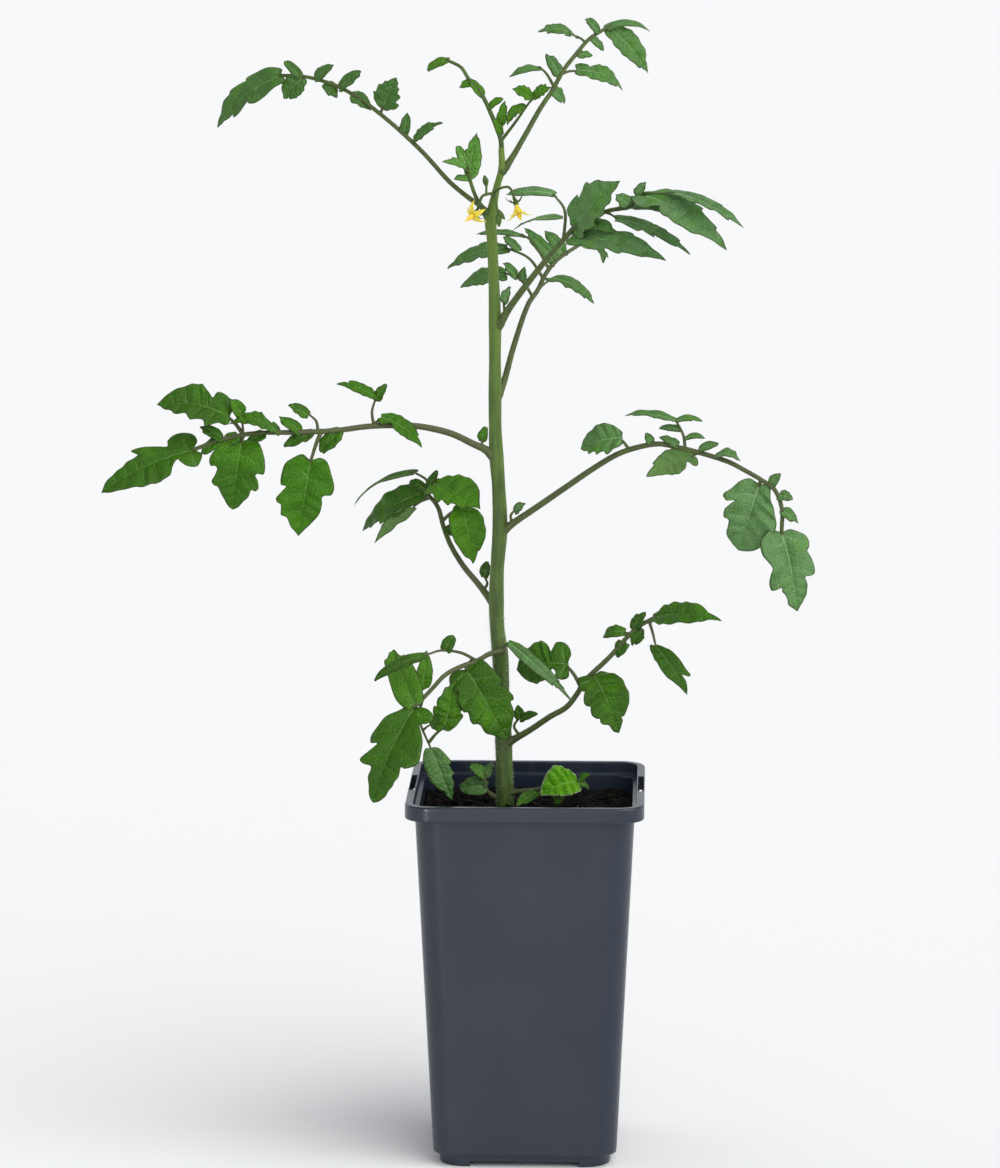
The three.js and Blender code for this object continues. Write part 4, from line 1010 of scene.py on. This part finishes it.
# One side of a leaflet's outline, by name: places along the rib (0 base, 1 tip) and out from it (1 is half
# the width), each with the count of side veins up to there. Halves are lobe tips, whole numbers notches.
margins = {
    "twoLobes": [
        (0, 0.05, 0), (-0.04, 0.28, 0.2), (0, 0.62, 0.6), (0.14, 0.86, 1.1), (0.33, 1, 1.5),
        (0.405, 0.94, 1.7), (0.41, 0.76, 1.9), (0.43, 0.68, 2), (0.51, 0.76, 2.3), (0.62, 0.82, 2.5),
        (0.675, 0.74, 2.7), (0.675, 0.6, 3), (0.75, 0.52, 3.5), (0.86, 0.33, 4.5), (0.94, 0.16, 5.5),
        (1, 0, 6)],
    "threeLobes": [
        (0, 0.05, 0), (-0.05, 0.3, 0.2), (0, 0.66, 0.6), (0.12, 0.86, 1.1), (0.27, 0.97, 1.5),
        (0.345, 0.92, 1.7), (0.365, 0.72, 2), (0.44, 0.86, 2.3), (0.54, 1, 2.5), (0.6, 0.95, 2.7),
        (0.615, 0.8, 3), (0.68, 0.78, 3.3), (0.75, 0.72, 3.5), (0.79, 0.56, 3.9), (0.88, 0.34, 4.6),
        (0.95, 0.16, 5.4), (1, 0, 6)],
    "oneLobe": [
        (0, 0.05, 0), (-0.04, 0.3, 0.2), (0, 0.62, 0.6), (0.14, 0.84, 1.1), (0.32, 1, 1.5),
        (0.4, 0.94, 1.7), (0.41, 0.72, 1.9), (0.43, 0.62, 2), (0.52, 0.66, 2.5), (0.66, 0.62, 3.5),
        (0.8, 0.44, 4.5), (0.91, 0.22, 5.4), (1, 0, 6)],
    "waisted": [
        (0, 0.06, 0), (-0.04, 0.3, 0.2), (-0.02, 0.62, 0.4), (0.06, 0.8, 0.5), (0.13, 0.7, 0.7),
        (0.17, 0.46, 0.9), (0.2, 0.36, 1), (0.27, 0.6, 1.3), (0.36, 0.92, 1.8), (0.46, 1, 2.5),
        (0.6, 0.88, 3.5), (0.78, 0.55, 4.5), (0.91, 0.24, 5.4), (1, 0, 6)],
    "spurred": [
        (0, 0.06, 0), (-0.06, 0.4, 0.2), (-0.06, 0.8, 0.4), (0.05, 0.96, 0.5), (0.14, 0.86, 0.7),
        (0.2, 0.62, 0.9), (0.24, 0.44, 1), (0.33, 0.62, 1.2), (0.45, 0.8, 1.4), (0.57, 0.86, 1.5),
        (0.55, 0.68, 1.8), (0.51, 0.54, 2), (0.62, 0.52, 2.8), (0.78, 0.42, 4), (0.91, 0.2, 5.2),
        (1, 0, 6)],
    "wavy": [
        (0, 0.05, 0), (-0.06, 0.35, 0.2), (-0.02, 0.7, 0.4), (0.08, 0.85, 0.5), (0.17, 0.8, 0.9),
        (0.2, 0.76, 1), (0.28, 0.93, 1.3), (0.37, 1, 1.5), (0.43, 0.94, 1.8), (0.45, 0.84, 2),
        (0.52, 0.9, 2.3), (0.6, 0.88, 2.5), (0.65, 0.76, 2.9), (0.67, 0.68, 3), (0.74, 0.66, 3.3),
        (0.8, 0.58, 3.5), (0.84, 0.42, 3.9), (0.92, 0.24, 4.6), (1, 0, 5.5)],
    "late": [
        (0, 0.06, 0), (-0.02, 0.35, 0.2), (0.06, 0.65, 0.6), (0.2, 0.92, 1.5), (0.38, 1, 2.5),
        (0.56, 0.92, 3.5), (0.7, 0.72, 4.2), (0.77, 0.56, 4.5), (0.785, 0.42, 4.8), (0.79, 0.36, 5),
        (0.86, 0.33, 5.3), (0.94, 0.16, 5.7), (1, 0, 6)],
    "oval": [
        (0, 0.06, 0), (-0.02, 0.3, 0.2), (0.06, 0.62, 0.6), (0.2, 0.9, 1.5), (0.36, 1, 2.3),
        (0.52, 0.93, 3.1), (0.68, 0.72, 3.9), (0.83, 0.42, 4.7), (0.93, 0.18, 5.4), (1, 0, 6)],
    "full": [
        (0, 0.06, 0), (0, 0.35, 0.2), (0.1, 0.55, 0.8), (0.25, 0.74, 1.5), (0.46, 1, 2.5),
        (0.62, 1, 3.3), (0.76, 0.84, 4.1), (0.86, 0.6, 4.8), (0.94, 0.3, 5.4), (1, 0, 6)],
    "jagged": [
        (0, 0.06, 0), (-0.02, 0.35, 0.1), (0.03, 0.63, 0.2), (0.16, 0.86, 0.3), (0.3, 1.07, 0.5),
        (0.31, 0.9, 0.7), (0.29, 0.62, 1), (0.36, 0.74, 1.2), (0.45, 0.86, 1.4), (0.53, 0.88, 1.5),
        (0.58, 0.8, 1.8), (0.59, 0.63, 2), (0.68, 0.62, 2.6), (0.8, 0.55, 3.5), (0.9, 0.36, 4.5),
        (0.96, 0.18, 5.4), (1, 0, 6)],
    "stepped": [
        (0, 0.06, 0), (-0.03, 0.3, 0.1), (0.02, 0.6, 0.2), (0.12, 0.82, 0.4), (0.21, 0.88, 0.5),
        (0.255, 0.8, 0.8), (0.27, 0.7, 1), (0.4, 0.78, 1.3), (0.565, 0.8, 1.5), (0.59, 0.66, 1.8),
        (0.58, 0.44, 2), (0.66, 0.46, 2.6), (0.76, 0.43, 3.5), (0.88, 0.27, 4.5), (0.96, 0.12, 5.4),
        (1, 0, 6)],
    "lowSpur": [
        (0, 0.06, 0), (-0.05, 0.4, 0.2), (-0.02, 0.75, 0.3), (0.05, 0.88, 0.4), (0.2, 0.93, 0.5),
        (0.32, 0.82, 0.8), (0.4, 0.74, 1), (0.48, 0.84, 1.2), (0.58, 0.92, 1.4), (0.65, 0.88, 1.5),
        (0.66, 0.72, 1.8), (0.63, 0.53, 2), (0.7, 0.5, 2.6), (0.8, 0.42, 3.5), (0.9, 0.3, 4.5),
        (0.96, 0.14, 5.4), (1, 0, 6)],
    "twoPointed": [
        (0, 0.05, 0), (0.02, 0.3, 0.3), (0.15, 0.5, 0.9), (0.3, 0.68, 1.3), (0.43, 0.78, 1.5),
        (0.475, 0.66, 1.8), (0.47, 0.46, 2), (0.55, 0.6, 2.3), (0.66, 0.78, 2.5), (0.7, 0.64, 2.8),
        (0.69, 0.36, 3), (0.78, 0.37, 3.7), (0.88, 0.28, 4.6), (0.96, 0.13, 5.4), (1, 0, 6)],
    "broadEnd": [
        (0, 0.05, 0), (-0.04, 0.4, 0.2), (0, 0.7, 0.4), (0.05, 0.78, 0.5), (0.12, 0.66, 0.8),
        (0.13, 0.5, 1), (0.2, 0.7, 1.2), (0.28, 0.9, 1.3), (0.4, 1, 1.4), (0.52, 1.02, 1.5),
        (0.575, 0.94, 1.7), (0.59, 0.7, 1.9), (0.6, 0.58, 2), (0.7, 0.6, 2.6), (0.82, 0.5, 3.7),
        (0.93, 0.28, 5), (1, 0, 6)],
    "forked": [
        (0, 0.06, 0), (0.05, 0.4, 0.3), (0.2, 0.75, 0.8), (0.4, 0.94, 1.2), (0.6, 1, 1.4),
        (0.77, 1.06, 1.5), (0.74, 0.8, 1.7), (0.67, 0.46, 2), (0.8, 0.4, 3.2), (0.92, 0.24, 4.8),
        (1, 0, 6)],
    "cleft": [
        (0, 0.06, 0), (-0.05, 0.4, 0.2), (0, 0.8, 0.4), (0.1, 0.98, 0.5), (0.2, 0.94, 0.7),
        (0.25, 0.72, 0.9), (0.27, 0.52, 1), (0.31, 0.72, 1.2), (0.4, 0.94, 1.6), (0.52, 1, 2.5),
        (0.7, 0.8, 3.5), (0.86, 0.45, 4.5), (0.95, 0.2, 5.3), (1, 0, 6)],
    "toothy": [
        (0, 0.06, 0), (0, 0.35, 0.3), (0.08, 0.62, 0.6), (0.22, 0.86, 1.2), (0.35, 1, 1.5),
        (0.385, 0.88, 1.8), (0.4, 0.78, 2), (0.5, 0.84, 2.3), (0.58, 0.86, 2.5), (0.61, 0.72, 2.8),
        (0.63, 0.62, 3), (0.72, 0.6, 3.3), (0.78, 0.55, 3.5), (0.81, 0.4, 3.9), (0.88, 0.3, 4.4),
        (0.95, 0.14, 5.2), (1, 0, 6)],
    "round": [
        (0, 0.08, 0), (-0.04, 0.4, 0.2), (0.04, 0.74, 0.4), (0.22, 0.96, 0.8), (0.42, 1, 1.2),
        (0.62, 0.94, 1.6), (0.8, 0.72, 2.1), (0.92, 0.44, 2.6), (0.98, 0.2, 2.9), (1, 0, 3)],
    "small": [
        (0, 0.08, 0), (0, 0.45, 0.2), (0.1, 0.8, 0.4), (0.3, 1, 0.5), (0.4, 0.93, 0.8), (0.46, 0.84, 1),
        (0.56, 0.82, 1.3), (0.66, 0.76, 1.5), (0.74, 0.6, 1.9), (0.87, 0.34, 2.4), (1, 0, 3)],
    "petal": [
        (0, 0.2, 0), (0.1, 0.75, 0.5), (0.3, 1, 1), (0.5, 0.85, 1.5), (0.75, 0.5, 2), (0.92, 0.2, 2.5),
        (1, 0, 3)],
}

leafShapes = {    # the sides drawn from where a row names none, steps along the leaflet and across a half
    "lobed": {"sides": ("twoLobes", "threeLobes", "oneLobe", "toothy", "cleft"), "rows": 90, "across": 10},
    "toothed": {"sides": ("toothy", "wavy", "late", "waisted"), "rows": 64, "across": 8},
    "plain": {"sides": ("oval", "late", "round", "small"), "rows": 48, "across": 6},
    "small": {"sides": ("small", "round"), "rows": 22, "across": 4},
    "petal": {"sides": ("petal",), "rows": 20, "across": 4},
}

leaf = {
    "thickness": 0.34,         # mm
    "rib": 0.45,               # how far the midrib stands out below
    "groove": 0.28,            # how deep it lies above
    "ribWidth": 0.8,
    "veinRib": 0.2,            # the same for side veins, whose width is a share of their distance
    "veinGroove": 0.22,
    "veinWidth": 0.07,
    "pucker": 0.065,           # bulge of the blade between side veins, share of its width
    "quilt": 0.010,            # finer bulges along the side veins, share of its width
    "ripple": 0.04,            # rise and fall of the margin with its lobes, share of the width
    "sway": 0.02,              # its slow waves, share of the width
    "droop": 0.10,             # how far it bends down, share of half the width
    "lean": 0.5,               # how far side veins lean forward
    "leastHalf": 0.09,         # mm, half width where an outline runs out
    "tint": (0.1, 0.9),        # range of the leaflets' tone, unless the leaf has its own
    "twist": (0.10, 0.22),     # how much leaflets turn about their rib, large and small ones
    "uneven": (0.014, 0.035),  # how uneven margins are, on large and small leaflets
    "usual": {"face": (0, 40), "arch": 3, "fold": 14},    # of a leaflet whose row says nothing else
}


# One side of an outline in even steps: places along and out from the rib in mm, and the count of veins.
def marginLine(name, length, width, rows, uneven, draw):
    points = np.array(margins[name], float)
    points[1:-1, :2] += draw.normal(0, uneven, (len(points) - 2, 2))
    line = smoothPath(points * [length, width / 2, 0.001], rows + 1)
    return line[:, 0], np.maximum(line[:, 1], leaf["leastHalf"]), line[:, 2] * 1000


# One leaflet as a thin closed shell. Rows run from the midrib out to its two margins along the side veins,
# whose feet lie further back than their ends. The height adds the arch of the rib, the fold of the two
# halves, the droop and waves of the margin, which rises in notches and falls at lobes, and a bulge
# between veins. Grooves lie above the veins and ribs below them.
def blade(base, tip, width, edge, face, arch, fold, seed, sides=None, tint=leaf["tint"], **looks):
    shape = leafShapes[edge]
    draw = np.random.default_rng(seed)
    slight = int(edge in ("plain", "small"))
    even = edge in ("small", "petal")
    tone, twist = draw.uniform(*tint), draw.normal(0, leaf["twist"][slight])
    swing = draw.uniform(0, 2 * np.pi)
    sides = sides or draw.choice(shape["sides"], 2)
    along = tip - base
    length = np.linalg.norm(along)
    forward = along / length
    up = unit(face - forward * np.dot(face, forward))
    side = np.cross(forward, up)
    rows, half, wide = shape["rows"], shape["across"], width / 2
    right, left = [marginLine(name, length, width, rows, leaf["uneven"][slight], draw) for name in sides]

    # t runs across from -1 to 1, in closer steps near the rib, and s from the base to the tip
    t = np.linspace(-1, 1, 2 * half + 1)[None, :]
    t = np.sign(t) * np.abs(t) ** 1.2
    reach = np.abs(t)
    near = (1 + np.sign(t)) / 2
    edgeX, spread, phase = [a[:, None] * near + b[:, None] * (1 - near) for a, b in zip(right, left)]
    foot = (right[0] + left[0] - leaf["lean"] * (right[1] + left[1])) / 2
    foot = np.maximum.accumulate(foot.clip(0))
    s = (0.8 * foot / foot[-1] + 0.2 * np.linspace(0, 1, rows + 1))[:, None]
    envelope = (2 * spread / width).clip(0, 1)
    x = s * length + (edgeX - s * length) * reach * (0.6 + 0.4 * reach)
    y = t * spread
    share = (x / length).clip(-0.05, 1.05)

    z = arch * 4 * share * (1 - share) + (np.sqrt(y ** 2 + 1) - 1) * math.tan(math.radians(fold))
    z = z - leaf["droop"] * wide * (np.abs(y) / wide) ** 2.5 + y * math.tan(twist) * (share - 0.3)
    z = z + leaf["ripple"] * width * reach ** 2.5 * np.cos(2 * np.pi * phase) * (1.1 - s) * (not even)
    z = z + leaf["sway"] * width * reach ** 2 * np.sin(5 * np.pi * share + swing + np.sign(t))
    bulge = np.abs(np.cos(np.pi * phase)) ** 1.3 * np.sin(np.pi * reach ** 0.8) * envelope
    quilt = np.sin(6 * np.pi * phase) * np.sin(5 * np.pi * reach) * envelope * (not even)
    z = z + leaf["pucker"] * width * bulge + leaf["quilt"] * width * quilt
    middle = np.exp(-(y / leaf["ribWidth"]) ** 2)
    veined = np.exp(-(((phase % 1) - 0.5) / leaf["veinWidth"]) ** 2) * (1 - reach) * (not even)
    top = z - leaf["groove"] * middle - leaf["veinGroove"] * veined
    low = z - leaf["thickness"] - leaf["rib"] * middle * (1 - 0.6 * s) - leaf["veinRib"] * veined

    def place(height):
        flat = base + forward * x[..., None] + side * y[..., None]
        return (flat + up * height[..., None]).reshape(-1, 3)

    numbers = gridNumbers(rows + 1, 2 * half + 1)
    inside = np.zeros(numbers.shape, bool)
    inside[1:-1, 1:-1] = True
    below = numbers.copy()
    below[inside] = numbers.size + np.arange(inside.sum())
    points = np.vstack([place(np.where(inside, top, (top + low) / 2)), place(low)[inside.ravel()]])
    faces = [gridFaces(numbers), gridFaces(below)[:, ::-1]]

    def both(values):
        values = np.broadcast_to(values, numbers.shape).ravel()
        return np.concatenate([values, values[inside.ravel()]])

    under = np.concatenate([np.where(inside, 0.0, 0.4).ravel(), np.ones(inside.sum())])
    span = (np.gradient(s[:, 0] * length)[:, None] / np.gradient(phase, axis=0)).clip(0.4, length)
    return patch(points, faces, tone=tone, under=under, **looks,
                 veinPhase=both(phase), veinSpan=both(span), veinFade=both((1 - reach) ** 0.6),
                 fromRib=both(np.abs(y) + 0.5 * s), toEdge=both((1 - reach) * spread),
                 flatX=both(x), flatY=both(y))


# The way a blade's top looks: turned from the front, positive to the right, and raised, in degrees.
def facing(turn, raised):
    turn, raised = math.radians(turn), math.radians(raised)
    level = math.cos(raised)
    return np.array([level * math.sin(turn), -level * math.cos(turn), math.sin(raised)])


# A leaf's place is (x, y, z), or (x, z) with its depth from the leaf's lean.
def placer(plan):
    rootX, rootY = plan["root"]

    def at(place):
        x, z = place[0], place[-1]
        y = place[1] if len(place) == 3 else rootY + plan["lean"] * (x - rootX)
        return np.array([x, y, z + plan.get("rise", 0) * abs(x - rootX)], float)

    return at


stalk = {
    "sides": 8,
    "hairsPerMm": 6.0,
    "hairLength": 0.9,         # mm
    "hairThick": 0.045,        # radius at the foot
    "smallHairs": 0.8,         # how many and how long they are on branches and leaflets' stalks
    "bow": 0.07,               # how far a leaflet's stalk bows up, share of its length
    "radius": (0.5, 0.03),     # mm, of a leaflet's stalk, and how much it grows with the leaflet's width
    "taper": 0.6,
    "inside": 1.6,             # mm that it runs on inside the blade
    "leafletTan": 0.75,
    "rachisSides": 10,
    "branch": (0.95, 0.55),    # mm, radius of a side branch at its foot and its end
    "thickest": 0.2,           # mm, a leaflet's stalk may be so much thicker than the rachis's end
    "tan": 0.8,                # how brown a rachis is, unless its plan says
    "flare": 0.5,              # how much thicker a rachis leaves the stem
    "flareReach": 4,           # mm
}


# A stalk and its hairs, with the places of their materials in the list called leafy.
def stalkPatches(path, radius, seed, tan, sides=stalk["sides"], hairy=1.0):
    length = np.linalg.norm(np.diff(path, axis=0), axis=1).sum()
    count = int(stalk["hairsPerMm"] * length * hairy * max(radius.mean(), 0.5))
    fuzz = hairs(path, radius, count, stalk["hairLength"] * hairy, stalk["hairThick"], seed, skin=2)
    return [tube(path, radius, sides, skin=1, tan=tan), fuzz]


# A leaflet and the stalk that bows over to it from the rachis and ends just inside its blade.
def leaflet(at, spec, thickest, seed, shade):
    spec = {**leaf["usual"], **shade, **spec}
    root = spec.pop("stalk", None)
    base, tip = at(spec.pop("base")), at(spec.pop("tip"))
    face = facing(*spec.pop("face"))
    patches = []
    if root:
        root = at(root)
        least, growth = stalk["radius"]
        thick = min(thickest, least + spec["width"] * growth)
        end = base + unit(tip - base) * stalk["inside"]
        reach = np.linalg.norm(end - root)
        middle = (root + end) / 2 + np.array([0, 0, stalk["bow"] * reach])
        path = smoothPath([root, middle, end], int(6 + reach))
        radius = np.linspace(thick, thick * stalk["taper"], len(path))
        patches = stalkPatches(path, radius, seed + 500, stalk["leafletTan"], hairy=stalk["smallHairs"])
    return patches + [blade(base, tip, face=face, seed=seed, **spec)]


# A compound leaf: its rachis, thicker where it leaves the stem, side branches and all leaflets. Its piece
# is named as its node, such as leafLowRight for leaf_low_right.
def makeLeaf(plan, seed):
    at = placer(plan)

    def measured(places):
        points = [at(place) for place in places]
        return points, sum(np.linalg.norm(b - a) for a, b in zip(points, points[1:]))

    start, end = plan["radii"]
    points, length = measured(plan["rachis"])
    path = smoothPath(points, int(length))
    walked = np.linspace(0, length, len(path))
    radius = start + (end - start) * walked / length
    reach = stalk["flareReach"]
    flare = plan.get("flare", stalk["flare"]) * np.exp(-np.maximum(walked - reach, 0) / reach)
    tan = plan.get("tan", stalk["tan"])
    patches = stalkPatches(path, radius * (1 + flare), seed, tan, stalk["rachisSides"])
    for i, branch in enumerate(plan.get("branches", [])):
        points, length = measured(branch)
        path = smoothPath(points, int(4 + length))
        radius = np.linspace(*stalk["branch"], len(path))
        patches += stalkPatches(path, radius, seed + 40 + i, tan, hairy=stalk["smallHairs"])
    shade = {key: plan[key] for key in ("youth", "bluish", "tint") if key in plan}
    for i, spec in enumerate(plan["leaflets"]):
        patches += leaflet(at, spec, end + stalk["thickest"], seed + 60 + i, shade)
    first, *others = plan["node"].split("_")
    name = first + "".join(word.capitalize() for word in others)
    makePiece(name, patches, leafy, plan.get("slot", "leaf_green"), plan["node"])


stem = {
    "rows": 330,
    "sides": 32,
    "ribs": 5,
    "ribHeight": 0.035,
    "evened": 4,                        # the radius is averaged over so many rows either way
    "longHairs": (2600, 1.9, 0.06),     # count, length and thickness in mm, near the foot
    "longHairTop": 300,                 # mm, where they end
    "shortHairs": (5200, 0.9, 0.05),    # all the way up
    "youngFrom": 370,                   # mm, from here up the stem turns yellower,
    "youngOver": 210,                   # over so many mm
}


# The main stem: the radius follows the layout by height, smoothed over a few millimetres, with low ribs.
def makeStem():
    table = np.array(stemPath)
    path = smoothPath(table[:, :3], stem["rows"])
    radius = np.interp(path[:, 2], table[:, 2], table[:, 3])
    kernel = np.hanning(2 * stem["evened"] + 1)
    radius = np.convolve(np.pad(radius, stem["evened"], "edge"), kernel / kernel.sum(), "valid")
    body = tube(path, radius, stem["sides"], stem["ribs"], stem["ribHeight"], tan=0.1)
    height = np.concatenate([np.repeat(np.pad(path[:, 2], 1, "edge"), stem["sides"]), path[[0, -1], 2]])
    body["marks"]["youth"] = ((height - stem["youngFrom"]) / stem["youngOver"]).clip(0, 0.85)
    shown = path[:, 2] > compost["top"]
    low = shown & (path[:, 2] < stem["longHairTop"])
    fuzz = [
        hairs(path[low], radius[low], *stem["longHairs"], seed=31),
        hairs(path[shown], radius[shown], *stem["shortHairs"], seed=32),
    ]
    makePiece("mainStem", [body, *fuzz], [stemSkin, stemHair], "stem_green", "main_stem")


makeStem()
print("stage: stem made")

plantLeaves = [
    lowRight, lowLeft, midLeft, midRight, upperLeft, upperBack, upperRight, topLeft, topRight,
    curled, shootTip, baseLeft, baseRight,
]
for number, plan in enumerate(plantLeaves, 1):
    makeLeaf(plan, 1000 * number)
print("stage: leaves made")


# Flowers

# Looks is the way of a flower's face in degrees: turned to the right and raised. Its petals reach out and
# bend back by mm.
flowers = [
    dict(name="flowerLeft", node="flower_left", centre=(-29, -13, 521), looks=(-45, -25),
         reach=7.2, bendBack=4.0),
    dict(name="flowerRight", node="flower_right", centre=(-5.5, -13, 526), looks=(30, -64),
         reach=7.4, bendBack=-6.5),
]
flower = {
    "petals": 5,
    "petal": {"width": 3.7, "turn": 0.3, "arch": 1.6},
    "coneRadius": 1.4,
    "cone": [(-0.6, 0.7), (1.2, 1.0), (3.6, 0.8), (5.2, 0.4), (6.5, 0.18)],    # mm out, share of the radius
    "setBack": 1.9,                                 # mm, the calyx lies this far behind
    "cup": [(-2.6, 0.7), (-1, 1.3), (0.6, 1.5)],    # mm out, radius
    "sepal": {"reach": 5.4, "width": 1.6, "bendBack": 3.8, "turn": 0.93, "arch": 1.2},
}


# Narrow blades in a ring round a flower's axis, arching out and back from its face.
def ringOfBlades(centre, axis, seed, reach, width, bendBack, turn, arch, **marks):
    first = unit(np.cross([0.0, 0.0, 1.0], axis))
    second = np.cross(axis, first)
    ring = []
    for i in range(flower["petals"]):
        angle = turn + 2 * math.pi * i / flower["petals"]
        out = first * math.cos(angle) + second * math.sin(angle)
        tip = centre + out * reach - axis * bendBack
        ring.append(blade(centre, tip, width, "petal", axis, arch, 10, seed + i, **marks))
    return ring


# A flower: reflexed petals round a fluted cone of anthers.
def makeFlower(spec, seed):
    axis, centre = facing(*spec["looks"]), np.array(spec["centre"], float)
    places, shares = np.transpose(flower["cone"])
    rise = np.linspace(places[0], places[-1], 22)
    radius = flower["coneRadius"] * np.interp(rise, places, shares)
    cone = tube(centre + axis * rise[:, None], radius, 20, 5, 0.12, cone=1.0)
    petals = ringOfBlades(centre, axis, seed, spec["reach"], bendBack=spec["bendBack"], **flower["petal"])
    makePiece(spec["name"], [cone, *petals], [petalSkin], "petal_yellow", spec["node"])


# A calyx: a small cup behind the flower with five narrow sepals.
def calyx(spec, seed):
    axis = facing(*spec["looks"])
    heart = np.array(spec["centre"], float) - axis * flower["setBack"]
    places, radii = np.transpose(flower["cup"])
    rise = np.linspace(places[0], places[-1], 8)
    cup = tube(heart + axis * rise[:, None], np.interp(rise, places, radii), 12, skin=1)
    return [cup, *ringOfBlades(heart, axis, seed, youth=0.3, **flower["sepal"])]


# A bud: a drop that swells from its stalk and narrows to a point.
def bud(foot, tip, radius, seed):
    path = smoothPath([foot, tip], 14)
    girth = 0.25 + radius * np.sin(np.pi * (0.12 + 0.83 * np.linspace(0, 1, 14)))
    return [tube(path, girth, 12, 5, 0.1, skin=1), hairs(path, girth, 60, 0.7, 0.04, seed, skin=2)]


truss = {
    "thin": 0.85,    # share of the solids' radii
    "stalks": [      # points, and the radius at either end
        ([(-18, 0, 529), (-19, -6, 532), (-24, -9, 531), (-26, -9, 526), (-27, -10, 523)], 1.1, 0.8),
        ([(-19, -6, 531.6), (-15, -9, 535), (-10, -10.5, 536), (-7.5, -12, 533), (-7, -12.3, 529.5)],
         0.9, 0.8),
        ([(-16.6, -7.8, 534), (-16.6, -11, 529), (-15.5, -12, 521)], 0.8, 0.7),
        ([(-22, -8, 531.4), (-22, -8, 537)], 0.8, 0.7),
    ],
    "buds": [        # foot, tip and radius
        ((-22, -8, 536.5), (-23, -8.5, 542), 1.3),
        ((-15.5, -12, 521.5), (-15, -13, 515), 1.5),
        ((-16, -11.5, 524), (-12, -13, 519), 1.1),
    ],
}


def makeTruss():
    patches = []
    for i, (points, start, end) in enumerate(truss["stalks"]):
        path = smoothPath(points, 26)
        radius = np.linspace(start, end, len(path)) * truss["thin"]
        patches += stalkPatches(path, radius, 600 + i, 0.1)
    for i, (foot, tip, radius) in enumerate(truss["buds"]):
        patches += bud(foot, tip, radius, 620 + i)
    for i, spec in enumerate(flowers):
        patches += calyx(spec, 640 + 10 * i)
    makePiece("flowerTruss", patches, leafy, "stem_green", "flower_truss")


makeTruss()
for number, spec in enumerate(flowers):
    makeFlower(spec, 700 + 20 * number)
print("stage: flowers made")


# Studio: a pale floor, soft lights and the camera of the photograph

studio = {
    "floor": colour(0.86, 0.86, 0.855),
    "floorSize": 60.0,                # m
    "world": colour(0.93, 0.95, 1.0),
    "worldHeights": (0.2, 0.7),       # share of the way up where the glow starts to fade, and where it ends
    "worldStrength": (0.95, 0.35),    # below the one and above the other
    "suns": [                         # place it shines from, strength, degrees, wide for soft shadows
        ((2.3, -2.0, 2.9), 2.62, 70),
        ((-1.6, 1.8, 2.6), 0.3, 70),
    ],
    "lights": [                       # place, aim, width, height, watts, spread in degrees
        ((-0.60, -1.75, 0.20), (0, 0, 0.1), 0.04, 0.38, 0.65, 50),
    ],
    "camera": (0.0733, -2.8467, 0.8070),
    "cameraTilt": 80.238,             # degrees from straight down
    "cameraTurn": 1.774,
    "lens": 162.44,                   # mm, on a picture 36 mm high
}


def makeFloor():
    half = studio["floorSize"] / 2
    mesh = bpy.data.meshes.new("floor")
    corners = [(-half, -half, 0), (half, -half, 0), (half, half, 0), (-half, half, 0)]
    mesh.from_pydata(corners, [], [(0, 1, 2, 3)])
    floor = bpy.data.objects.new("floor", mesh)
    mesh.materials.append(newMaterial("floorPaint", {
        "Roughness": 0.9, "Specular IOR Level": 0.0, "Base Color": studio["floor"]})[0])
    bpy.context.scene.collection.objects.link(floor)


# A lamp at a place, turned to shine at its target.
def addLamp(name, kind, place, target):
    lamp = bpy.data.objects.new(name, bpy.data.lights.new(name, kind))
    way = np.array(target, float) - np.array(place, float)
    lamp.location = place
    lamp.rotation_euler = (math.acos(-way[2] / np.linalg.norm(way)), 0, math.atan2(-way[0], way[1]))
    bpy.context.scene.collection.objects.link(lamp)
    return lamp


def makeLights():
    for i, (place, target, width, height, watts, spread) in enumerate(studio["lights"]):
        lamp = addLamp(f"softbox{i}", "AREA", place, target)
        lamp.visible_diffuse = False    # it only draws its streak on the satin plastic
        lamp.data.shape, lamp.data.size, lamp.data.size_y = "RECTANGLE", width, height
        lamp.data.energy, lamp.data.spread = watts, math.radians(spread)
    for i, (place, strength, angle) in enumerate(studio["suns"]):
        sun = addLamp(f"sun{i}", "SUN", place, (0, 0, 0))
        sun.data.energy, sun.data.angle = strength, math.radians(angle)


# The sky is brighter at the horizon than overhead.
def makeWorld():
    world = bpy.data.worlds.new("studio")
    world.use_nodes = True
    tree = world.node_tree
    background = tree.nodes["Background"]
    background.inputs["Color"].default_value = studio["world"]
    way = shaderNode(tree, "ShaderNodeTexCoord").outputs["Generated"]
    height = shaderNode(tree, "ShaderNodeSeparateXYZ", {0: way}).outputs["Z"]
    glow = smoothShare(height, *studio["worldHeights"], *studio["worldStrength"])
    setInput(background, "Strength", glow)
    bpy.context.scene.world = world


def makeCamera():
    data = bpy.data.cameras.new("camera")
    data.sensor_fit, data.sensor_height, data.lens = "VERTICAL", 36, studio["lens"]
    camera = bpy.data.objects.new("camera", data)
    camera.location = studio["camera"]
    camera.rotation_euler = (math.radians(studio["cameraTilt"]), 0, math.radians(studio["cameraTurn"]))
    bpy.context.scene.collection.objects.link(camera)
    bpy.context.scene.camera = camera


makeFloor()
makeLights()
makeWorld()
makeCamera()
bpy.context.scene.view_settings.view_transform = "Standard"
print("stage: studio made")
